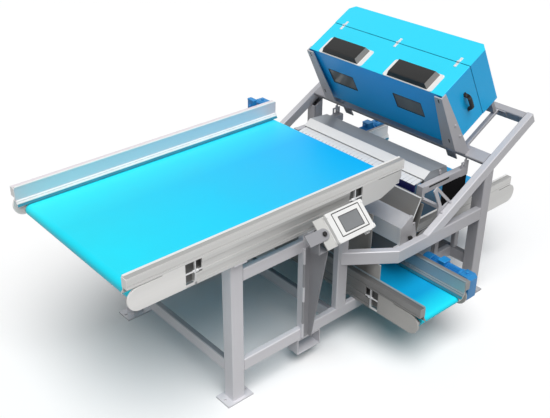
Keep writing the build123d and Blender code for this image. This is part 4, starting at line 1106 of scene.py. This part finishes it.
def filter_mats():
    """Mats over the louvres' slots: a rounded rectangle whose upper edge is drawn in."""
    levels = ((-0.3, 0), (0.8, 0), (1.6, 1.5))
    return [stacked(slope_spot(FAN_U, y, LOUVRE_TOP), levels, rounded, 118, 308, 4) for y in FAN_YS]


def window_gaskets():
    """Rubber profiles round the windows: a half round carried along a rectangle with round corners."""
    half = 2.4
    levels = [(1.6 * math.sin(a), -half * math.cos(a)) for a in np.linspace(0, math.pi, 7)]
    levels += [(-1, half), (-1, -half)]
    spots = [spot(slope_place(HOOD_FRONT, y, WINDOW_N), DOWNHILL, AWAY) for y in WINDOW_YS]
    return [stacked(base, levels, rounded, *WINDOW_SIZE, 5) for base in spots]


def bow_handle(side):
    """Bow handle on one side of the hood: a flat ellipse carried along a superellipse off the sheet."""
    middle_u = 2433
    middle_n = 322
    half = 62
    reach = 36
    flat = 16
    thick = 12
    squareness = 0.45
    turn = np.linspace(0, math.pi, BOW_STEPS)[:, None]
    round_turn = np.linspace(0, 2 * math.pi, ROUND_SIDES, endpoint=False)[None, :]
    n = middle_n - half * np.sign(np.cos(turn)) * np.abs(np.cos(turn)) ** squareness
    off = reach * np.sin(turn) ** squareness - 0.5
    rise = np.gradient(n, axis=0)
    lean = np.gradient(off, axis=0)
    length = np.hypot(rise, lean)
    across = thick * np.sin(round_turn)
    depths = -side * (n + across * lean / length)
    heights = off + across * rise / length
    return side_spot(side, middle_u, 0).points(flat * np.cos(round_turn), depths, heights)


def handle_feet():
    """Oval feet of the bow handles, drawn in at their upper edge."""
    levels = ((-0.3, 0), (3, 0), (5, 2.5))
    spots = [side_spot(side, 2432, n) for side in SIDES for n in (252, 392)]
    return [stacked(base, levels, rounded, 26, 32, 10) for base in spots]


def flange_screws():
    """Pan-head screws in the corners of both fan flanges."""
    depth, width = FLANGE_SIZE
    screws = []
    for y in FAN_YS:
        for across in SIDES:
            for along in SIDES:
                u = FAN_U + along * (depth / 2 - 9)
                base = slope_spot(u, y + across * (width / 2 - 12), HOOD_TOP + FLANGE_THICK)
                screws.append(pan_screw(base, 4.5))
    return screws


def hinge_screws(way):
    """Two pan-head screws in each hinge leaf, before the seam for a way of -1 and behind it for 1."""
    us = [HOOD_SEAM + way * reach for reach in (18, 35)]
    return [pan_screw(slope_spot(u, y, HOOD_TOP + 3), 3.6) for y in HINGE_YS for u in us]


class SORTER_OT_motors(bpy.types.Operator):
    """Gearmotors with cast gearboxes, finned barrels, fan cowls and terminal boxes, in blue paint"""

    bl_idname = "sorter.motors"
    bl_label = "Gearmotors"

    def execute(self, context):
        fins = context.scene.sorter_fittings.motor_fins
        for name, motor in GEARMOTORS.items():
            grids = motor_body(CONVEYORS[name], motor, fins) + gearbox(CONVEYORS[name], motor)
            casting = name + "_motor_casting"
            make_piece(casting, "motor_paint", "motor_paint", grids, replaced=(name + "_gearmotor",))
        return {"FINISHED"}


def motor_body(run, motor, fins):
    """Flange, finned barrel and fan cowl along the motor's axis, and the terminal box with its gland."""
    front = run.run - 52
    t = run.width / 2 + RAIL_WIDTH + MOTOR_RADIUS + 10
    cowl = motor.length - 70
    lid = motor.box_height - 9
    box_s = front - motor.box_start
    box_z = motor.axis + 42
    back = facing(run.along, -1)
    base = spot(run.place(front, t, motor.axis), back, UP)
    box = spot(run.place(box_s - motor.box_length / 2, t, box_z), UP, run.left())
    gland = spot(run.place(box_s - motor.box_length, t, box_z + lid * 0.5), back, UP)
    flange_levels = ((0, 1.5), (1.5, 0), (12.5, 0), (14, 1.5))
    cowl_curve = ((0, 1), (1, 0), (52, 0), (62, 2.5), (68, 8), (70, 15))
    cowl_levels = [(cowl + rise, inset) for rise, inset in cowl_curve]
    cap_levels = ((cowl + 69, 0), (cowl + 71.5, 0), (cowl + 72.5, 2))
    lid_levels = ((lid, 0), (lid + 6, 0), (lid + 9, 3))
    return [
        stacked(base, flange_levels, round_outline, MOTOR_RADIUS + 7),
        stacked(base, ((14, 0), (cowl + 2, 0)), finned, MOTOR_RADIUS + 1.5, fins, 9),
        stacked(base, cowl_levels, round_outline, MOTOR_RADIUS + 4, sides=48),
        stacked(base, cap_levels, round_outline, 22),
        stacked(box, ((-4, 0), (lid, 0)), rounded, 68, motor.box_length - 4, 8),
        stacked(box, lid_levels, rounded, 72, motor.box_length, 9),
        stacked(gland, ((-6, 0), (9, 0), (11, 2)), round_outline, 11, sides=6),
    ]


def gearbox(run, motor):
    """Cast gearbox: its outline drawn in at both faces, a round cover with bolts, and a filler plug."""
    low = NOSE_AXIS - 24
    top = motor.case_top
    outline = (
        (-52, low + 12),
        (-40, low),
        (34, low),
        (46, low + 12),
        (46, top - 22),
        (26, top),
        (-36, top),
        (-52, top - 12),
    )
    levels = ((0, 2), (2, 0), (GEARBOX_DEPTH - 6, 0), (GEARBOX_DEPTH - 2, 2), (GEARBOX_DEPTH, 6))
    inner = run.width / 2 + RAIL_WIDTH
    outer = inner + GEARBOX_DEPTH
    cover_s = run.run - 4
    cover_z = (low + top) / 2 + 14
    bolt_circle = 29
    base = Spot(run.place(run.run, inner, 0), run.along, UP, run.left())
    cover = spot(run.place(cover_s, outer, cover_z), run.left(), UP)
    shaft = spot(run.place(run.run, outer, NOSE_AXIS), run.left(), UP)
    plug = spot(run.place(run.run - 8, inner + GEARBOX_DEPTH / 2, top), UP, run.along)
    grids = [
        stacked(base, levels, polygon, outline),
        stacked(cover, ((-1, 0), (3.5, 0), (5, 1.5)), round_outline, 37),
        stacked(shaft, ((-1, 0), (5, 0), (6.5, 1.5)), round_outline, 19),
    ]
    for turn in np.arange(6) * math.pi / 3:
        s = cover_s + bolt_circle * math.cos(turn)
        z = cover_z + bolt_circle * math.sin(turn)
        head = spot(run.place(s, outer + 5, z), run.left(), UP)
        grids.append(stacked(head, ((-1, 0), (3, 0)), round_outline, 5, sides=6))
    grids.append(stacked(plug, ((-1, 0), (8, 0), (10, 2)), round_outline, 12, sides=6))
    return grids


class SORTER_OT_bright_steel(bpy.types.Operator):
    """Plated and stainless steel on rollers, beds, chutes and the ejector box, and the tension nuts"""

    bl_idname = "sorter.bright_steel"
    bl_label = "Bright steel"

    def execute(self, context):
        finish("zinc_plate")
        finish("stainless_sheet")
        # Painted light: the beam's front face, which lies in shade, takes the white colour as a lit copy;
        # its top keeps the darker beam colour
        tint("divider_beam_sheet", "white", "Normal", "X", *facing(FACING_OUT, -1))
        # Painted light: the chute walls lighten towards their near end
        tint("chute_sheet", "chute_end_lit", "Object", "Y", -650, -730)
        make_piece("divider_flap", "chute_sheet", "steel", [divider_flap()])
        make_piece("take_up_nuts", "bright_zinc", "steel", take_up_nuts())
        return {"FINISHED"}


def divider_flap():
    """Thin sheet that hangs from the divider's beam: a rectangle with eased edges, 4 mm thick."""
    face = 1296
    width = 1380
    low = 520
    high = 648
    base = Spot((face, 0, (low + high) / 2), AWAY, UP, RIGHT)
    return stacked(base, ((0, 1), (1, 0), (3, 0), (4, 1)), rounded, width, high - low, 2)


def take_up_nuts():
    """Nuts on both sides of each tension bracket, and a cap nut drawn in as a dome at the end."""
    dome = [(14 + 8 * math.sin(a), 9 * (1 - math.cos(a))) for a in np.linspace(0, 1.4, 6)]
    z = BRACKET_SHARE * RAIL_SEAM
    nuts = []
    for run, side, face, way in tension_brackets():
        t = side * (run.width / 2 + RAIL_WIDTH - SCREW_INSET)
        outer = spot(run.place(face, t, z), facing(run.along, way), UP)
        inner = spot(run.place(face - way * BRACKET_THICK, t, z), facing(run.along, -way), UP)
        for base in (outer, inner):
            nuts.append(stacked(base, ((-0.2, 0), (8, 0)), round_outline, 9, sides=6))
        nuts.append(stacked(outer, [(8, 1), (10, 0), *dome], round_outline, 9.5))
    return nuts


class SORTER_OT_ejector(bpy.types.Operator):
    """Fingers with navy pads and pale tops, the brown-grey divider plate, and the black skirts"""

    bl_idname = "sorter.ejector"
    bl_label = "Ejector and divider"

    def execute(self, context):
        tint("finger_moulding", "finger", "Object", "X", *FINGER_FRONT)
        tint("finger_moulding", "finger_top", "Normal", "Z", 0.35, 0.5)
        finish("divider_sheet")
        # Partly painted highlight: white rims on the divider plate's edges
        make_piece("divider_rims", "white_moulding", "divider_sheet", divider_rims(), body="divider")
        make_piece("side_skirts", "skirt_rubber", "black_plastic", side_skirts())
        return {"FINISHED"}


def divider_rims():
    """Bright rims along the divider plate's upper edge and ends, their white partly a painted highlight
    on the plate's edges: rounded bars carried along them.
    """
    axis_x, axis_z, half = DIVIDER_AXIS
    run, rise = DIVIDER_RISE
    length = math.hypot(run, rise)
    along = (run / length, 0, rise / length)
    front = (-along[2], 0, along[0])
    end_rim = rounded(7, 9, 1.5) + (0, -3.2)
    top_rim = rounded(9, 9, 2) + (-4.5, -3.2)
    rims = []
    for side in SIDES:
        low = Spot((axis_x - 2, side * (half - 3.5), axis_z + 5), AWAY, front, along)
        rims.append(stacked(low, ((14, 0), (length - 1, 0)), as_drawn, end_rim))
    top = Spot((axis_x + run - 2, half, axis_z + rise + 5), along, front, NEAR)
    rims.append(stacked(top, ((0, 0), (2 * half, 0)), as_drawn, top_rim))
    return rims


def side_skirts():
    """Rubber skirts between the ejector's rails and the takeaway guides: rectangles with eased edges."""
    middle = 1930
    half = 632
    width = 260
    low = 679.3
    high = 891.7
    levels = ((0, 1), (1, 0), (4, 0), (5, 1))
    places = [(middle, side * half, (low + high) / 2) for side in SIDES]
    spots = [Spot(place, RIGHT, UP, (0, side, 0)) for place, side in zip(places, SIDES)]
    return [stacked(base, levels, rounded, width, high - low, 2) for base in spots]


class SORTER_OT_knobs(bpy.types.Operator):
    """Star knobs on the divider's clamp and the panel's clamp"""

    bl_idname = "sorter.knobs"
    bl_label = "Star knobs"

    def execute(self, context):
        lobes = context.scene.sorter_fittings.knob_lobes
        divider_spot = spot((1370, -720, 684), NEAR, RIGHT)
        divider = star_knob(divider_spot, lobes, radius=17, neck=8, top=26)
        panel = star_knob(panel_spot(-52, -102, -24), lobes, radius=16, neck=2, top=15)
        for name, grids in (("divider", divider), ("panel", panel)):
            moving = {"body": name + "_clamp", "replaced": (name + "_knob",)}
            make_piece(name + "_star_knob", "black_moulding", "black_plastic", grids, **moving)
        return {"FINISHED"}


def star_knob(base, lobes, radius, neck, top):
    """Knob on a neck: a star outline drawn in as a quarter circle at its upper and lower edges."""
    ease = 0.3 * radius
    turns = np.linspace(0, math.pi / 2, 5)
    edge = [(ease * (1 - math.sin(a)), ease * (1 - math.cos(a))) for a in turns]
    levels = [(neck + rise, inset) for rise, inset in reversed(edge)]
    levels += [(top - rise, inset) for rise, inset in edge]
    cap_levels = ((top - 1, 0), (top + 0.6, 0), (top + 1.2, 0.8))
    return [
        stacked(base, ((0.3, 0), (neck + 1, 0)), round_outline, 0.5 * radius),
        stacked(base, levels, lobed, 0.93 * radius, lobes, 0.075),
        stacked(base, cap_levels, round_outline, 0.36 * radius),
    ]


class SORTER_OT_panel(bpy.types.Operator):
    """Operator panel: white case, dark screen, black joints round both, corner screws and edge clips"""

    bl_idname = "sorter.panel"
    bl_label = "Operator panel"

    def execute(self, context):
        finish("screen_glass")
        tint("panel_lacquer", "panel_slab", "Object", "X", PANEL_CORNER[0] - 0.2, PANEL_CORNER[0] - 0.8)
        joints = panel_joints()
        make_piece("panel_joints", "black_moulding", "black_plastic", rings=joints, body="panel")
        make_piece("panel_clips", "white_moulding", "panel_plastic", panel_clips(), body="panel")
        make_piece("panel_screws", "bright_zinc", "steel", panel_screws(), body="panel")
        return {"FINISHED"}


def panel_joints():
    """Black joint in the case's groove and border of the screen: square profiles round rectangles."""
    half_joint = ((0, 1.1), (1.9, 1.1), (2.1, 3.2), (2.6, 2.8))
    joint = [(rise, -inset) for rise, inset in half_joint] + list(reversed(half_joint))
    border = ((-1, -1.5), (0.7, -1.5), (0.7, 2.2), (-1, 2.2))
    return [
        stacked(panel_spot(156, -90, -2), joint, rounded, 223.5, 149.5, 3),
        stacked(panel_spot(159.5, -96.5, 0), border, rounded, 159, 103, 2.5),
    ]


def panel_clips():
    """Clips over the case's edges: rounded blocks with their upper edges drawn in."""
    clips = [(across, along, 14, 24) for across in (297, 3) for along in (-16, -180)]
    clips.append((252, -195, 24, 12))
    levels = ((-13, 0), (3, 0), (5, 2))
    return [
        stacked(panel_spot(across, along, 0), levels, rounded, width, depth, 3)
        for across, along, width, depth in clips
    ]


def panel_screws():
    """Pan-head screws in the corners of the case's inner frame."""
    spots = [panel_spot(across, along, 0) for across in (54, 258) for along in (-26, -154)]
    return [pan_screw(base, 3) for base in spots]


class SORTER_OT_stage(bpy.types.Operator):
    """Pale floor, soft lamps and the camera at the photograph's angle"""

    bl_idname = "sorter.stage"
    bl_label = "Stage"

    def execute(self, context):
        stage = context.scene.sorter_stage
        place_floor(stage)
        place_lamps(context, stage)
        place_camera(context, stage)
        context.scene.view_settings.view_transform = "Standard"
        return {"FINISHED"}


def background_share(tree):
    """Socket that is 1 on rays from the camera, mirrors and glass, and 0 on light on the machine."""
    ray = add_node(tree, "LightPath").outputs
    seen = add_node(tree, "Math", {0: ray["Is Camera Ray"], 1: ray["Is Glossy Ray"]}).outputs["Value"]
    either = add_node(tree, "Math", {0: seen, 1: ray["Is Transmission Ray"]}, use_clamp=True)
    return either.outputs["Value"]


def place_floor(stage):
    """Square floor: corners at plus and minus half its width, just under the feet."""
    half = 30
    under = -0.0005
    corners = np.array([(-1, -1), (1, -1), (1, 1), (-1, 1)]) * half
    points = np.column_stack((corners, np.full(4, under)))
    mesh = bpy.data.meshes.new("floor")
    mesh.from_pydata(points.tolist(), [], [(0, 1, 2, 3)])
    floor = bpy.data.objects.new("floor", mesh)
    bpy.context.scene.collection.objects.link(floor)
    material, shader = open_material("floor_paper", {"Roughness": 0.9, "Specular IOR Level": 0})
    tree = material.node_tree
    shown = (stage.floor_white,) * 3 + (1,)
    returned = (stage.floor_return,) * 3 + (1,)
    levels = {"Factor": background_share(tree), "A": returned, "B": shown}
    paper = add_node(tree, "Mix", levels, data_type="RGBA")
    tree.links.new(paper.outputs["Result"], shader["Base Color"])
    mesh.materials.append(material)
    floor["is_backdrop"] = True


def place_lamps(context, stage):
    """One soft key lamp from above and the left, and even light from all round."""
    lamp = bpy.data.lights.new("key_lamp", "SUN")
    lamp.energy = stage.key_strength
    lamp.angle = stage.key_spread
    key = bpy.data.objects.new("key_lamp", lamp)
    key.rotation_euler = (stage.key_tilt, 0, stage.key_turn)
    context.scene.collection.objects.link(key)
    world = bpy.data.worlds.new("studio")
    context.scene.world = world
    world.use_nodes = True
    tree = world.node_tree
    levels = {"Value": background_share(tree), "To Min": stage.fill_level, "To Max": 1}
    level = add_node(tree, "MapRange", levels)
    backdrop = tree.nodes["Background"].inputs
    backdrop["Color"].default_value = (1, 1, 1, 1)
    tree.links.new(level.outputs["Result"], backdrop["Strength"])


def place_camera(context, stage):
    """Camera whose lens and shift come from the focal length and axis pixel of the photograph."""
    lens = bpy.data.cameras.new("camera")
    lens.sensor_width = SENSOR_WIDTH
    lens.lens = stage.focal_pixels * SENSOR_WIDTH / PHOTO_WIDTH
    lens.shift_x = (PHOTO_WIDTH / 2 - stage.axis_pixel[0]) / PHOTO_WIDTH
    lens.shift_y = (stage.axis_pixel[1] - PHOTO_HEIGHT / 2) / PHOTO_WIDTH
    camera = bpy.data.objects.new("camera", lens)
    camera.location = ORIGIN + np.array(stage.camera_place)
    camera.rotation_euler = (math.pi / 2 + stage.camera_pitch, 0, stage.camera_yaw)
    context.scene.collection.objects.link(camera)
    context.scene.camera = camera


OPERATORS = (
    SORTER_OT_belts,
    SORTER_OT_rails,
    SORTER_OT_sealing_strips,
    SORTER_OT_frame_tubes,
    SORTER_OT_hood,
    SORTER_OT_motors,
    SORTER_OT_bright_steel,
    SORTER_OT_ejector,
    SORTER_OT_knobs,
    SORTER_OT_panel,
    SORTER_OT_stage,
)

SETTINGS = {
    "sorter_colours": SorterColours,
    "sorter_finish": SorterFinish,
    "sorter_fittings": SorterFittings,
    "sorter_stage": SorterStage,
}


class SORTER_PT_pieces(bpy.types.Panel):
    """Lists the sorter's pieces and finishes"""

    bl_idname = "SORTER_PT_pieces"
    bl_label = "Potato sorter"
    bl_space_type = "VIEW_3D"
    bl_region_type = "UI"
    bl_category = "Sorter"

    def draw(self, context):
        for name, group in SETTINGS.items():
            column = self.layout.column()
            for title in group.__annotations__:
                column.prop(getattr(context.scene, name), title)
        for operator in OPERATORS:
            self.layout.operator(operator.bl_idname)


CLASSES = (*SETTINGS.values(), *OPERATORS, SORTER_PT_pieces)


def register():
    for kind in CLASSES:
        bpy.utils.register_class(kind)
    for name, group in SETTINGS.items():
        setattr(bpy.types.Scene, name, PointerProperty(type=group))


def unregister():
    for name in SETTINGS:
        delattr(bpy.types.Scene, name)
    for kind in reversed(CLASSES):
        bpy.utils.unregister_class(kind)


def corners():
    """Lowest and highest corner of the shown object as plain lists."""
    return [[float(c) for c in corner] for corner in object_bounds()]


def main():
    """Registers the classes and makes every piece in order."""
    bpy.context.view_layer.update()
    register()
    for operator in OPERATORS:
        family, title = operator.bl_idname.split(".")
        getattr(getattr(bpy.ops, family), title)()


if __name__ == "__main__":
    main()
